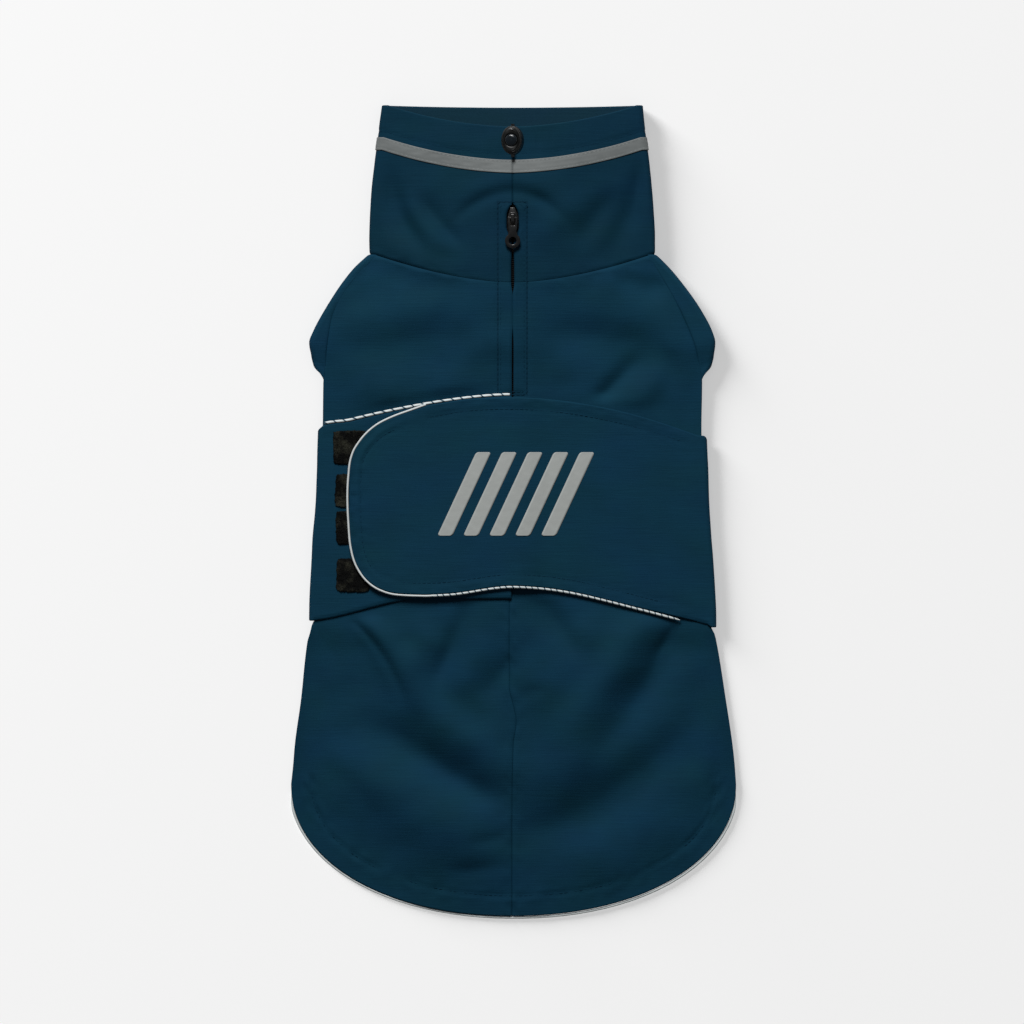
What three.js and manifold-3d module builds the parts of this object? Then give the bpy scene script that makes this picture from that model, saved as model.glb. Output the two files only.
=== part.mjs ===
// A dog raincoat laid flat on its belly side, back up, as for a catalogue.
// The collar is a flattened tube with a drawcord lock and a reflective tape. Its back seam runs on
// into a concealed zip for a lead, and then down the middle of the back to the round hem. A belly
// band comes up round both sides: its right wing closes over its left one on hook-and-loop patches.
// +X is to the right seen from above, +Y points to the collar and +Z is up. Sizes in millimetres.
import * as THREE from 'three';
import { mergeVertices } from 'three/addons/utils/BufferGeometryUtils.js';
import Module from 'manifold-3d';

const wasm = await Module();
wasm.setup();

// Driving dimensions
const CLOTH = 1.5;              // thickness of every panel
const HALF = CLOTH / 2;
const SEAM = 0.3;               // gap where two pieces are sewn together
const LAYER = 0.6;              // gap between panels that lie on each other
const FLOOR_LAYER = HALF;       // height of the middle of a panel that lies on the surface
const CENTRE_SEAM_X = -1.3;
const COLLAR_FLOOR = 1.65;      // the collar's underside rides on its own tape
const NECK_CENTRE_Y = 137.1;    // collar seam at the centre back
const NECK_SIDE_Y = 154;        // collar seam at the side folds
const THROAT_Y = 148;           // collar seam under the throat
const RIM_CENTRE_Y = 230.3;
const RIM_SIDE_Y = 243.4;
const THROAT_RIM_Y = 242.2;
const HEM_CORNER_Y = -163.5;    // where the straight sides turn into the round hem
const HEM_HALF_WIDTH = 132.5;
const HEM_DEPTH = 79.2;
const HEM_POWER = 2.1;
const ARMHOLE_BACK_Y = 78.5;     // the armhole's edge where it meets the back panel's side
const ARMHOLE_FOLD_Y = 82;
const ARMHOLE_UNDER_Y = 93;     // and where it has turned round to the underside
const CHEST_WAIST = 66;         // half width of the chest panel between the front legs
const BAND_TOP_Y = 69.2;        // top edge of the band at the centre back
const BAND_LOW_Y = -45.3;       // its lower edge there
const TAPE_FROM_RIM = 19.6;
const TAPE_WIDTH = 7.8;
const TAPE_THICK = 0.5;
const PIPING_RADIUS = 0.9;
const PATCH_SIZE = 20;
const PATCH_THICK = 1.0;
const COLLAR_LENGTH = 91;

// The lie of the top cloth: how high it lies at its sides and how much more at the centre.
const BODY_SECTIONS = [
  { y: 246, half: 77, edge: 7.6, crown: 7.6 },
  { y: 200, half: 82, edge: 7.6, crown: 9.4 },
  { y: 154, half: 84, edge: 7.2, crown: 9.8 },
  { y: 128, half: 104, edge: 6.9, crown: 9.0 },
  { y: 101, half: 119, edge: 6.6, crown: 8.4 },
  { y: 86, half: 118, edge: 4.6, crown: 8.0 },
  { y: 76, half: 117, edge: 3.9, crown: 7.7 },
  { y: 50, half: 115, edge: 3.2, crown: 7.0 },
  { y: -68, half: 119, edge: 3.1, crown: 6.6 },
  { y: -86, half: 123, edge: 1.2, crown: 7.2 },
  { y: -150, half: 131, edge: 0.95, crown: 6.0 },
  { y: -205, half: 117, edge: 0.85, crown: 3.2 },
  { y: -246, half: 60, edge: 0.85, crown: 0.2 },
];

// Outer edges of the folded sides, as left and right places at each y.
const COLLAR_SIDES = [
  { y: 243.4, left: -79.6, right: 76.6 },
  { y: 229, left: -81.5, right: 78.1 },
  { y: 211, left: -83.9, right: 80.5 },
  { y: 187, left: -86.4, right: 82.8 },
  { y: 163, left: -87.3, right: 84.1 },
  { y: 154, left: -87.2, right: 84.1 },
];
const SHOULDER_SIDES = [
  { y: 154, left: -87.4, right: 84.4 },
  { y: 145, left: -97.1, right: 93.4 },
  { y: 133, left: -106.2, right: 103.2 },
  { y: 120, left: -114.4, right: 112.1 },
  { y: 108, left: -120.9, right: 118.4 },
  { y: 101, left: -123.3, right: 120.3 },
  { y: 94, left: -122.2, right: 119.5 },
  { y: 87, left: -120.4, right: 117.7 },
  { y: 82, left: -118.7, right: 116.2 },
  { y: 78, left: -118.4, right: 115.9 },
];
const BAND_SIDES = [
  { y: 56, left: -117.9, right: 114.6 },
  { y: 28, left: -118.7, right: 115.9 },
  { y: 6, left: -119.4, right: 116.6 },
  { y: -15, left: -121.3, right: 117.9 },
  { y: -36, left: -122.3, right: 119.5 },
  { y: -58, left: -123.4, right: 120.7 },
  { y: -72, left: -123.4, right: 120.9 },
];
// The back panels' own side edges: shoulder seam, armhole, under the band, and the free skirt.
const BACK_SIDES = [
  { y: 154, left: -82.6, right: 79.7 },
  { y: 133, left: -101.4, right: 92.4 },
  { y: 115, left: -110.0, right: 101.5 },
  { y: 98, left: -112.6, right: 108.2 },
  { y: 88, left: -113.6, right: 110.6 },
  { y: 78, left: -114.8, right: 112.3 },
  { y: 50, left: -115.2, right: 111.9 },
  { y: 6, left: -116.7, right: 113.9 },
  { y: -15, left: -118.6, right: 115.2 },
  { y: -40, left: -119.7, right: 117.1 },
  { y: -65, left: -120.1, right: 117.2 },
  { y: -71, left: -120.9, right: 117.9 },
  { y: -78, left: -124.4, right: 120.7 },
  { y: -113, left: -128.3, right: 126.6 },
  { y: -140, left: -132.0, right: 130.6 },
  { y: HEM_CORNER_Y, left: -HEM_HALF_WIDTH, right: HEM_HALF_WIDTH },
];
// Half the width of the gap between the two sides of the centre back seam: the zip opens it.
const SLIT = [
  { y: 184.6, gap: SEAM / 2 },
  { y: 181, gap: 2.4 },
  { y: 177, gap: 3.6 },
  { y: 170, gap: 3.7 },
  { y: 164, gap: 1.5 },
  { y: 159, gap: 0.5 },
  { y: 147, gap: 0.9 },
  { y: 136, gap: 0.9 },
  { y: 129, gap: SEAM / 2 },
  { y: 113, gap: SEAM / 2 },
  { y: 100, gap: 0.5 },
  { y: 74, gap: 0.5 },
  { y: 62, gap: SEAM / 2 },
];
// The line of the seam down the back: under the band it drifts, and it jogs where it puckers.
const CENTRE_LINE = [
  { y: 62, x: CENTRE_SEAM_X },
  { y: -40, x: -2.4 },
  { y: -60, x: -3.3 },
  { y: -105, x: -3.3 },
  { y: -118, x: -0.5 },
  { y: -126, x: 0.9 },
  { y: -140, x: -0.9 },
  { y: -175, x: -1.6 },
  { y: -246, x: -1.7 },
];
// The rounded end of the right wing: its upper and lower edge at each place across the back.
const WING_END = [
  { x: -99.2, top: 19.5, low: -4.0 },
  { x: -98.3, top: 28.5, low: -17.0 },
  { x: -96.3, top: 35.5, low: -27.5 },
  { x: -93.0, top: 41.0, low: -35.0 },
  { x: -88.4, top: 46.5, low: -41.0 },
  { x: -81.5, top: 52.0, low: -46.0 },
  { x: -72.0, top: 56.6, low: -49.0 },
  { x: -62.0, top: 60.2, low: -49.7 },
  { x: -53.0, top: 63.4, low: -49.9 },
];
const PATCHES = [
  { name: 'upper', x: -98.8, y: 38.4, turn: 1 },
  { name: 'upper_middle', x: -97.6, y: 12.4, turn: -2 },
  { name: 'lower_middle', x: -97.2, y: -9.6, turn: 1 },
  { name: 'lower', x: -96.9, y: -38.2, turn: -1 },
];
// The large soft folds: each runs from one point to another, bows sideways, and is a ridge
// where its height is positive and a trough where it is negative.
// Columns: where it starts, where it ends, bow, height, and its width at both ends.
const FOLDS = [
  ['collar left', -77.5, 201, -54.5, 159, 1.2, -2.5, 7.4, 6.7],
  ['collar left ridge', -65, 187, -38.5, 155.5, 4, 3, 6.5, 8.4],
  ['above the zip', -35, 190.5, 35, 196.5, 1.4, 1.7, 8.6, 9.7],
  ['collar right', 81, 210, 59.5, 158, 0.8, -2.8, 7.5, 8.6],
  ['collar inner right', 61, 191, 37.5, 159.5, -1.4, -1.8, 7.4, 7.5],
  ['low left collar', -88, 165, -32, 142, 1.5, 2.4, 10.7, 8.8],
  ['across left shoulder', -108.5, 97.5, -21, 104, 1.6, -1.9, 7.8, 10.4],
  ['left shoulder swell', -96, 116, -41, 124.5, 1.9, 1.4, 9.8, 10.4],
  ['left back swell', -101.5, 77, -22, 78.5, 5.2, 2.6, 14.3, 13.3],
  ['across right shoulder', 16, 108, 93.5, 92.5, -1.7, -4.4, 15.5, 12.1],
  ['right neck hollow', 61.5, 141, 90, 132.5, 1.6, -2.2, 6.8, 8.5],
  ['into the band', 46.5, 62, 75, 92, -0.4, -3.4, 5.2, 6.4],
  ['pleat ridge', -91, -62, -55, -113, -0.7, 5, 7.2, 10.8],
  ['left trough', -84.5, -127.5, -12, -174, 1.5, -5.1, 10.6, 9.5],
  ['left ridge', -63.5, -109.5, -1, -157.5, 0.3, 3.9, 11.2, 12.9],
  ['low left swell', -110, -147.5, -14.5, -205, 2.2, 6.2, 19.6, 21],
  ['low left hollow', -119, -146, -67.5, -198.5, -2.1, -1.6, 8.9, 10.4],
  ['right trough', 98.5, -68, 46, -150, 4.4, -3.4, 7.3, 10.8],
  ['right ridge', 79.5, -64, 23, -148, -0.3, 6.2, 11.3, 15.2],
  ['low right trough', 98, -139, 0.5, -198, 8.6, -3.6, 10.9, 13.8],
  ['low right ridge', 79.5, -118, 9.5, -167, 4.5, 4, 13.3, 13.4],
  ['low right swell', 112.5, -164, 32.5, -216, 8.3, 2.5, 19, 17.4],
  ['beside the seam', 54.5, -67, 12, -113.5, -1.7, 3.7, 15, 16],
  ['by the band', -27, -55, -47, -102, 0.1, -2.3, 6.1, 6],
  ['left of the seam', -44.5, -74, -64.5, -93, -1, 2.7, 10.2, 10.1],
  ['near the seam', -16.5, -75, -34.5, -109.5, -0.8, 2.3, 10, 9.4],
  ['under the zip seam', -1.5, -87, -18.5, -111.5, 0.8, -2.1, 5.7, 7.4],
].map(([part, x0, y0, x1, y1, bow, height, startWidth, endWidth]) => (
  { part, x0, y0, x1, y1, bow, height, startWidth, endWidth }));

// Colours, from dark waxed petrol cloth to its trims
const PETROL = { color: 0x0d2f45, roughness: 0.78, metalness: 0 };
const LIGHT_GREY = { color: 0x9aa09f, roughness: 0.45, metalness: 0.1 };
const BLACK_CLOTH = { color: 0x0b0c0d, roughness: 0.95, metalness: 0 };
const BLACK_PLASTIC = { color: 0x0c0e10, roughness: 0.4, metalness: 0 };
const BLACK_METAL = { color: 0x16191b, roughness: 0.35, metalness: 0.7 };

const mix = (a, b, t) => a + (b - a) * t;
const clamp01 = (t) => Math.min(1, Math.max(0, t));
const smooth = (a, b, t) => {
  const s = clamp01((t - a) / (b - a));
  return s * s * (3 - 2 * s);
};
const shares = (count) => Array.from({ length: count + 1 }, (_, i) => i / count);

// One column of a table at a place between its rows, on a smooth curve that never overshoots them.
function along(table, key, column, at) {
  const rows = table[0][key] < table[table.length - 1][key] ? table : [...table].reverse();
  const last = rows.length - 1;
  if (at <= rows[0][key]) return rows[0][column];
  if (at >= rows[last][key]) return rows[last][column];
  const i = rows.findIndex((row) => row[key] > at) - 1;
  const slope = (k) => (rows[k + 1][column] - rows[k][column]) / (rows[k + 1][key] - rows[k][key]);
  const tangent = (k) => {
    if (k === 0) return slope(0);
    if (k === last) return slope(last - 1);
    const [a, b] = [slope(k - 1), slope(k)];
    return a * b <= 0 ? 0 : (2 * a * b) / (a + b);
  };
  const span = rows[i + 1][key] - rows[i][key];
  const t = (at - rows[i][key]) / span;
  const [p, q] = [rows[i][column], rows[i + 1][column]];
  return p * (1 + 2 * t) * (1 - t) ** 2 + q * t * t * (3 - 2 * t)
    + span * t * (1 - t) * (tangent(i) * (1 - t) - tangent(i + 1) * t);
}
const sideOf = (table, y, side) => along(table, 'y', side, y);
const slitGap = (y) => (y > SLIT[0].y || y < 62 ? SEAM / 2 : along(SLIT, 'y', 'gap', y));

// The height of one fold at a point: a soft bar along its spine that fades at both ends.
function foldHeight(fold, x, y) {
  const [dx, dy] = [fold.x1 - fold.x0, fold.y1 - fold.y0];
  const length = Math.hypot(dx, dy);
  const s = ((x - fold.x0) * dx + (y - fold.y0) * dy) / (length * length);
  const sideways = ((x - fold.x0) * -dy + (y - fold.y0) * dx) / length;
  const off = sideways + fold.bow * 4 * s * (1 - s) * Math.sign(dx);
  const width = mix(fold.startWidth, fold.endWidth, smooth(0, 1, s));
  const fromMiddle = Math.min(4, Math.abs(2 * s - 1));
  return fold.height * Math.exp(-((off / width) ** 2) - 1.2 * fromMiddle ** 4);
}

const bandTop = (x) => BAND_TOP_Y - 24 * Math.abs((x + 4) / 118) ** 1.9;
const bandLow = (x) => BAND_LOW_Y - 24.4 * Math.abs((x + 4) / 122) ** 1.45;

// The top cloth without its folds, at the middle of its thickness.
function bodyHeight(x, y) {
  const across = clamp01(Math.abs(x + 1.2) / along(BODY_SECTIONS, 'y', 'half', y));
  return along(BODY_SECTIONS, 'y', 'edge', y)
    + along(BODY_SECTIONS, 'y', 'crown', y) * (1 - across * across) ** 1.5;
}

// The top cloth with its folds, which die away under the band and never sink into what is below.
function clothHeight(x, y) {
  const across = clamp01(Math.abs(x + 1.2) / along(BODY_SECTIONS, 'y', 'half', y));
  const clear = Math.max(smooth(0, 9, y - bandTop(x)), smooth(0, 9, bandLow(x) - y))
    * smooth(1, 0.88, across);
  const folds = FOLDS.reduce((sum, fold) => sum + foldHeight(fold, x, y), 0);
  const lowest = mix(2 * HALF + SEAM + HALF + 0.2, FLOOR_LAYER + 0.05, smooth(-70, -80, y));
  const wanted = bodyHeight(x, y) + clear * folds;
  const soft = 0.8;
  return 0.5 * (wanted + lowest + Math.sqrt((wanted - lowest) ** 2 + soft * soft)) - soft * 0.12;
}

// The neck seam over the back, which collar and back panels share.
const NECK_HALF_WIDTH = 82.3;
const neckBackY = (x) => mix(
  NECK_CENTRE_Y, NECK_SIDE_Y, clamp01(Math.abs(x - CENTRE_SEAM_X) / NECK_HALF_WIDTH) ** 1.7);

// A closed wall from two matching grids of points, whose rim is closed with a strip of faces.
function wall(top, under) {
  const [rows, columns] = [top.length, top[0].length];
  const points = [...top.flat(), ...under.flat()];
  const at = (layer, j, i) => layer * rows * columns + j * columns + i;
  const faces = [];
  // Each four-sided cell is split along its shorter diagonal, which keeps slanting folds smooth.
  const quad = (a, b, c, d) => {
    const shorter = points[a].distanceTo(points[c]) <= points[b].distanceTo(points[d]);
    faces.push(...(shorter ? [a, b, c, a, c, d] : [a, b, d, b, c, d]));
  };
  for (let j = 0; j + 1 < rows; j++) {
    for (let i = 0; i + 1 < columns; i++) {
      quad(at(0, j, i), at(0, j, i + 1), at(0, j + 1, i + 1), at(0, j + 1, i));
      quad(at(1, j, i), at(1, j + 1, i), at(1, j + 1, i + 1), at(1, j, i + 1));
    }
  }
  for (let i = 0; i + 1 < columns; i++) {
    quad(at(0, 0, i), at(1, 0, i), at(1, 0, i + 1), at(0, 0, i + 1));
    quad(at(0, rows - 1, i), at(0, rows - 1, i + 1), at(1, rows - 1, i + 1), at(1, rows - 1, i));
  }
  for (let j = 0; j + 1 < rows; j++) {
    quad(at(0, j, 0), at(0, j + 1, 0), at(1, j + 1, 0), at(1, j, 0));
    const end = columns - 1;
    quad(at(0, j, end), at(1, j, end), at(1, j + 1, end), at(0, j + 1, end));
  }
  const volume = faces.reduce((sum, _, k) => {
    if (k % 3) return sum;
    const [a, b, c] = [0, 1, 2].map((n) => points[faces[k + n]]);
    return sum + a.dot(new THREE.Vector3().crossVectors(b, c));
  }, 0);
  if (volume < 0) faces.reverse();
  const geometry = new THREE.BufferGeometry();
  geometry.setAttribute('position', new THREE.Float32BufferAttribute(points.flatMap((p) => p.toArray()), 3));
  geometry.setIndex(faces);
  geometry.computeVertexNormals();
  return geometry;
}

// A panel that lies flat: its grid of middle points gets its thickness straight up and down.
function lyingPanel(grid, thick = CLOTH) {
  const moved = (dz) => grid.map((row) => row.map((p) => new THREE.Vector3(p.x, p.y, p.z + dz)));
  return wall(moved(thick / 2), moved(-thick / 2));
}

// A panel that wraps round the sides: its thickness is measured square to each cross-section.
// near and far are the distances of its two faces from the middle points, outwards.
function wrappedPanel(grid, near = -HALF, far = HALF) {
  const offset = (row, distance) => row.map((p, i) => {
    const [a, b] = [row[Math.max(0, i - 1)], row[Math.min(row.length - 1, i + 1)]];
    const length = Math.hypot(b.x - a.x, b.z - a.z);
    return new THREE.Vector3(
      p.x - ((b.z - a.z) / length) * distance, p.y, p.z + ((b.x - a.x) / length) * distance);
  });
  return wall(grid.map((row) => offset(row, far)), grid.map((row) => offset(row, near)));
}

// A round cord along a smooth curve through the given points.
function piping(points, radius, steps, sides = 6) {
  const path = new THREE.CatmullRomCurve3(points, false, 'centripetal');
  const section = new THREE.Shape();
  for (let i = 0; i < sides; i++) {
    const angle = (i / sides) * Math.PI * 2;
    const corner = [radius * Math.cos(angle), radius * Math.sin(angle)];
    if (i === 0) section.moveTo(...corner);
    else section.lineTo(...corner);
  }
  section.closePath();
  return new THREE.ExtrudeGeometry(section, { steps, extrudePath: path, bevelEnabled: false });
}

function toSolid(geometry) {
  const bare = geometry.clone();
  bare.deleteAttribute('normal');
  bare.deleteAttribute('uv');
  const merged = mergeVertices(bare, 1e-4);
  return new wasm.Manifold(new wasm.Mesh({
    numProp: 3,
    vertProperties: merged.attributes.position.array,
    triVerts: new Uint32Array(merged.index.array),
  }));
}

function toGeometry(solid) {
  const mesh = solid.getMesh();
  const geometry = new THREE.BufferGeometry();
  geometry.setAttribute('position', new THREE.BufferAttribute(mesh.vertProperties, mesh.numProp));
  geometry.setIndex(new THREE.BufferAttribute(mesh.triVerts, 1));
  geometry.computeVertexNormals();
  return geometry;
}

// The cross-section of a flattened tube: stations right round it, each on one of five stretches.
// 'over' is the top cloth, 'turn' the folded side and 'under' the cloth on the surface.
function tubeStations(overCount, turnCount, underCount) {
  const stretch = (part, count) => shares(count).map((share) => ({ part, share }));
  return [
    ...stretch('over right', overCount),
    ...stretch('turn right', turnCount).slice(1),
    ...stretch('under', underCount).slice(1),
    ...stretch('turn left', turnCount).slice(1),
    ...stretch('over left', overCount).slice(1),
  ];
}

function tubePoint(station, y, sides, innerLeft, innerRight, floor, height) {
  const radius = (along(BODY_SECTIONS, 'y', 'edge', y) - floor) / 2;
  const left = sideOf(sides, y, 'left') + HALF + radius;
  const right = sideOf(sides, y, 'right') - HALF - radius;
  const { part, share } = station;
  const angle = Math.PI * share;
  switch (part) {
    case 'over right': {
      const x = mix(innerRight, right, share);
      return new THREE.Vector3(x, y, height(x, y));
    }
    case 'over left': {
      const x = mix(left, innerLeft, share);
      return new THREE.Vector3(x, y, height(x, y));
    }
    case 'turn right':
      return new THREE.Vector3(
        right + radius * Math.sin(angle), y, floor + radius * (1 + Math.cos(angle)));
    case 'turn left':
      return new THREE.Vector3(
        left - radius * Math.sin(angle), y, floor + radius * (1 - Math.cos(angle)));
    default:
      return new THREE.Vector3(mix(right, left, share), y, floor);
  }
}

// The seam between collar and body, round the neck.
function neckSeam({ part, share }) {
  if (part === 'under') return mix(THROAT_Y, NECK_SIDE_Y, (2 * share - 1) ** 2);
  if (!part.startsWith('over')) return NECK_SIDE_Y;
  const side = part === 'over left' ? 'left' : 'right';
  const fromCentre = side === 'left' ? 1 - share : share;
  const out = side === 'left' ? -1 : 1;
  const fold = sideOf(COLLAR_SIDES, NECK_SIDE_Y, side) - out * (CLOTH + 2.0);
  return neckBackY(mix(CENTRE_SEAM_X, fold, fromCentre));
}

function collarRim(station) {
  const { part, share } = station;
  const fromCentre = { 'over right': share, 'over left': 1 - share, under: Math.abs(2 * share - 1) }[part] ?? 1;
  return part === 'under'
    ? mix(THROAT_RIM_Y, RIM_SIDE_Y, fromCentre ** 2)
    : mix(RIM_CENTRE_Y, RIM_SIDE_Y, fromCentre ** 1.8);
}

const TAPE_TOP = 1 - TAPE_FROM_RIM / COLLAR_LENGTH;
const TAPE_LOW = 1 - (TAPE_FROM_RIM + TAPE_WIDTH) / COLLAR_LENGTH;
const COLLAR_ROWS = [
  0, 0.08, 0.16, 0.24, 0.32, 0.4, 0.48, 0.545, 0.62, TAPE_LOW, TAPE_TOP, 0.86, 0.93, 1];
const COLLAR_STATIONS = tubeStations(11, 5, 9);

function collarPoint(station, share) {
  const y = mix(neckSeam(station), collarRim(station), share);
  const gap = slitGap(y);
  return tubePoint(
    station, y, COLLAR_SIDES, CENTRE_SEAM_X - gap, CENTRE_SEAM_X + gap, COLLAR_FLOOR, clothHeight);
}

const collarGrid = (rows) => rows.map((share) => COLLAR_STATIONS.map((s) => collarPoint(s, share)));

function makeCollar() {
  return wrappedPanel(collarGrid(COLLAR_ROWS), HALF, -HALF);
}

function makeCollarTape() {
  const under = HALF + SEAM;
  return wrappedPanel(collarGrid([TAPE_LOW, TAPE_TOP]), under, under + TAPE_THICK);
}

// One half of the back: its grid is bounded by the neck seam, the side, the hem and the centre.
function makeBackPanel(side) {
  const sign = side === 'left' ? -1 : 1;
  const [rows, columns] = [42, 14];
  const centreX = (y) => along(CENTRE_LINE, 'y', 'x', y) + sign * slitGap(y);
  const neckX = sideOf(BACK_SIDES, NECK_SIDE_Y, side);
  const neckSide = { x: neckX, y: neckBackY(neckX) - SEAM };
  const neck = (f) => {
    const x = mix(centreX(NECK_CENTRE_Y), neckSide.x, f);
    return { x, y: neckBackY(x) - SEAM };
  };
  const hem = (f) => {
    const angle = (f * Math.PI) / 2;
    const across = Math.sin(angle) ** (2 / HEM_POWER);
    const down = Math.cos(angle) ** (2 / HEM_POWER);
    const tip = centreX(HEM_CORNER_Y - HEM_DEPTH);
    return { x: mix(tip, sign * HEM_HALF_WIDTH, across), y: HEM_CORNER_Y - HEM_DEPTH * down };
  };
  const centre = (g) => {
    const y = mix(neck(0).y, hem(0).y, g);
    return { x: centreX(y), y };
  };
  const edge = (g) => {
    const y = mix(neckSide.y, HEM_CORNER_Y, g);
    return { x: sideOf(BACK_SIDES, y, side), y };
  };
  // A Coons patch: the two pairs of opposite edges are blended, less the blend of the corners.
  const point = (f, g) => {
    const blend = (key) => mix(neck(f)[key], hem(f)[key], g) + mix(centre(g)[key], edge(g)[key], f)
      - mix(mix(neck(0)[key], neck(1)[key], f), mix(hem(0)[key], hem(1)[key], f), g);
    const [x, y] = [blend('x'), blend('y')];
    return new THREE.Vector3(x, y, clothHeight(x, y));
  };
  return lyingPanel(shares(rows).map((g) => shares(columns).map((f) => point(f, g))));
}

// The chest panel goes under the throat, folds up round both shoulders and is sewn to the back.
function makeChestPanel() {
  const stations = tubeStations(3, 5, 16);
  const rows = 9;
  const lowEdge = ({ part, share }) => {
    const out = part.endsWith('left') ? 1 - share : share;
    if (part.startsWith('over')) return mix(ARMHOLE_BACK_Y, ARMHOLE_FOLD_Y, out);
    if (part.startsWith('turn')) return mix(ARMHOLE_FOLD_Y, ARMHOLE_UNDER_Y, out);
    const x = Math.abs(2 * share - 1) * 117;
    const waist = bellyTop(0) + SEAM;
    return mix(waist, ARMHOLE_UNDER_Y, clamp01((x - CHEST_WAIST) / (117 - CHEST_WAIST)) ** 1.6);
  };
  const point = (station, share) => {
    const y = mix(lowEdge(station), neckSeam(station) - SEAM, share);
    const seam = (side, out) => sideOf(BACK_SIDES, y, side) + out * SEAM;
    const onNeck = station.part.startsWith('over');
    const top = onNeck ? mix(lowEdge(station), NECK_SIDE_Y - 3 * SEAM, share) : y;
    return tubePoint(
      station, top, SHOULDER_SIDES, seam('left', -1), seam('right', 1), FLOOR_LAYER, clothHeight);
  };
  return wrappedPanel(shares(rows).map((g) => stations.map((s) => point(s, g))), HALF, -HALF);
}

// Heights of the band's wings over the back: each lies on what is under it.
const ON_BACK = CLOTH + LAYER;
const LEFT_WING_END_X = -2;
const leftWingHeight = (x, y) => bodyHeight(x, y) + ON_BACK;
function rightWingHeight(x, y) {
  const overWing = (CLOTH + LAYER) * smooth(LEFT_WING_END_X + 24, LEFT_WING_END_X + 3, x);
  const overPatches = (PATCH_THICK + 2 * SEAM - LAYER) * smooth(-68, -84, x);
  return bodyHeight(x, y) + ON_BACK + overWing + overPatches;
}

const bellyTop = (share) => mix(48.6, 45.5, share);
const bellyLow = (share) => mix(-65.5, -69.5, share);

// Upper and lower edge of each wing, across the back.
const leftWingEdges = (x) => ({
  top: mix(49.2, BAND_TOP_Y, 1 - clamp01(-(x + 4) / 114) ** 1.55),
  low: mix(-65.5, -52, smooth(-123, -52, x)),
});
function rightWingEdges(x) {
  const end = WING_END[WING_END.length - 1].x;
  if (x < end) return { top: along(WING_END, 'x', 'top', x), low: along(WING_END, 'x', 'low', x) };
  const blendIn = smooth(end, end + 40, x);
  return {
    top: mix(along(WING_END, 'x', 'top', end) + (x - end) * 0.17, bandTop(x) - 0.8, blendIn),
    low: mix(along(WING_END, 'x', 'low', end) + (x - end) * 0.05, bandLow(x), blendIn),
  };
}

// The band: left wing, left fold, belly, right fold and right wing, in one strip.
function makeBellyBand() {
  const widthRows = 9;
  const wingX = [
    ...WING_END.map((row) => row.x),
    -40, -24, -8, 2, 9, 16, 24, 40, 60, 80, 97, 107,
  ].reverse();
  const stretch = (part, count) => shares(count).map((share) => ({ part, share }));
  const stations = [
    ...stretch('left wing', 10),
    ...stretch('left fold', 5).slice(1),
    ...stretch('belly', 8).slice(1),
    ...stretch('right fold', 5).slice(1),
    ...wingX.map((x) => ({ part: 'right wing', x })),
  ];
  const point = (station, share) => {
    const { part } = station;
    const across = { 'left wing': 0, 'left fold': 0, belly: station.share }[part] ?? 1;
    const hidden = mix(bellyLow(across), bellyTop(across), share);
    if (part === 'left wing') {
      const rough = mix(LEFT_WING_END_X, -116, station.share);
      const edges = leftWingEdges(rough);
      const y = mix(edges.low, edges.top, share);
      const fold = bandFold(y, 'left');
      const x = mix(LEFT_WING_END_X, fold.x, station.share);
      const folded = FLOOR_LAYER + 2 * fold.radius;
      return new THREE.Vector3(x, y, mix(leftWingHeight(x, y), folded, station.share ** 8));
    }
    if (part === 'right wing') {
      const edges = rightWingEdges(station.x);
      const y = mix(edges.low, edges.top, share);
      const fold = bandFold(y, 'right');
      const nearFold = smooth(60, 112, station.x);
      const x = station.x + nearFold * (fold.x - 113.5);
      return new THREE.Vector3(x, y, rightWingHeight(x, y));
    }
    const side = part === 'left fold' ? 'left' : 'right';
    const out = side === 'left' ? -1 : 1;
    const fold = bandFold(hidden, side);
    if (part === 'belly') {
      const other = bandFold(hidden, 'left');
      return new THREE.Vector3(mix(other.x, fold.x, station.share), hidden, FLOOR_LAYER);
    }
    const down = side === 'left' ? station.share : 1 - station.share;
    const angle = Math.PI * down;
    return new THREE.Vector3(
      fold.x + out * fold.radius * Math.sin(angle), hidden, FLOOR_LAYER + fold.radius * (1 + Math.cos(angle)));
  };
  return wrappedPanel(shares(widthRows).map((g) => stations.map((s) => point(s, g))));
}

// Where the band's side fold begins, at the middle of its cloth, and the fold's radius.
function bandFold(y, side) {
  const out = side === 'left' ? -1 : 1;
  const edge = along(BODY_SECTIONS, 'y', 'edge', Math.min(50, Math.max(-68, y)));
  const radius = (edge + ON_BACK - FLOOR_LAYER) / 2;
  return { x: sideOf(BAND_SIDES, y, side) - out * (HALF + radius), radius };
}

function makePatch({ x, y, turn }) {
  const angle = THREE.MathUtils.degToRad(turn);
  const place = (f, g) => {
    const [u, v] = [(f - 0.5) * PATCH_SIZE, (g - 0.5) * PATCH_SIZE];
    const px = x + u * Math.cos(angle) - v * Math.sin(angle);
    const py = y + u * Math.sin(angle) + v * Math.cos(angle);
    return new THREE.Vector3(px, py, leftWingHeight(px, py) + HALF + SEAM + PATCH_THICK / 2);
  };
  return lyingPanel(shares(4).map((g) => shares(4).map((f) => place(f, g))), PATCH_THICK);
}

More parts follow.
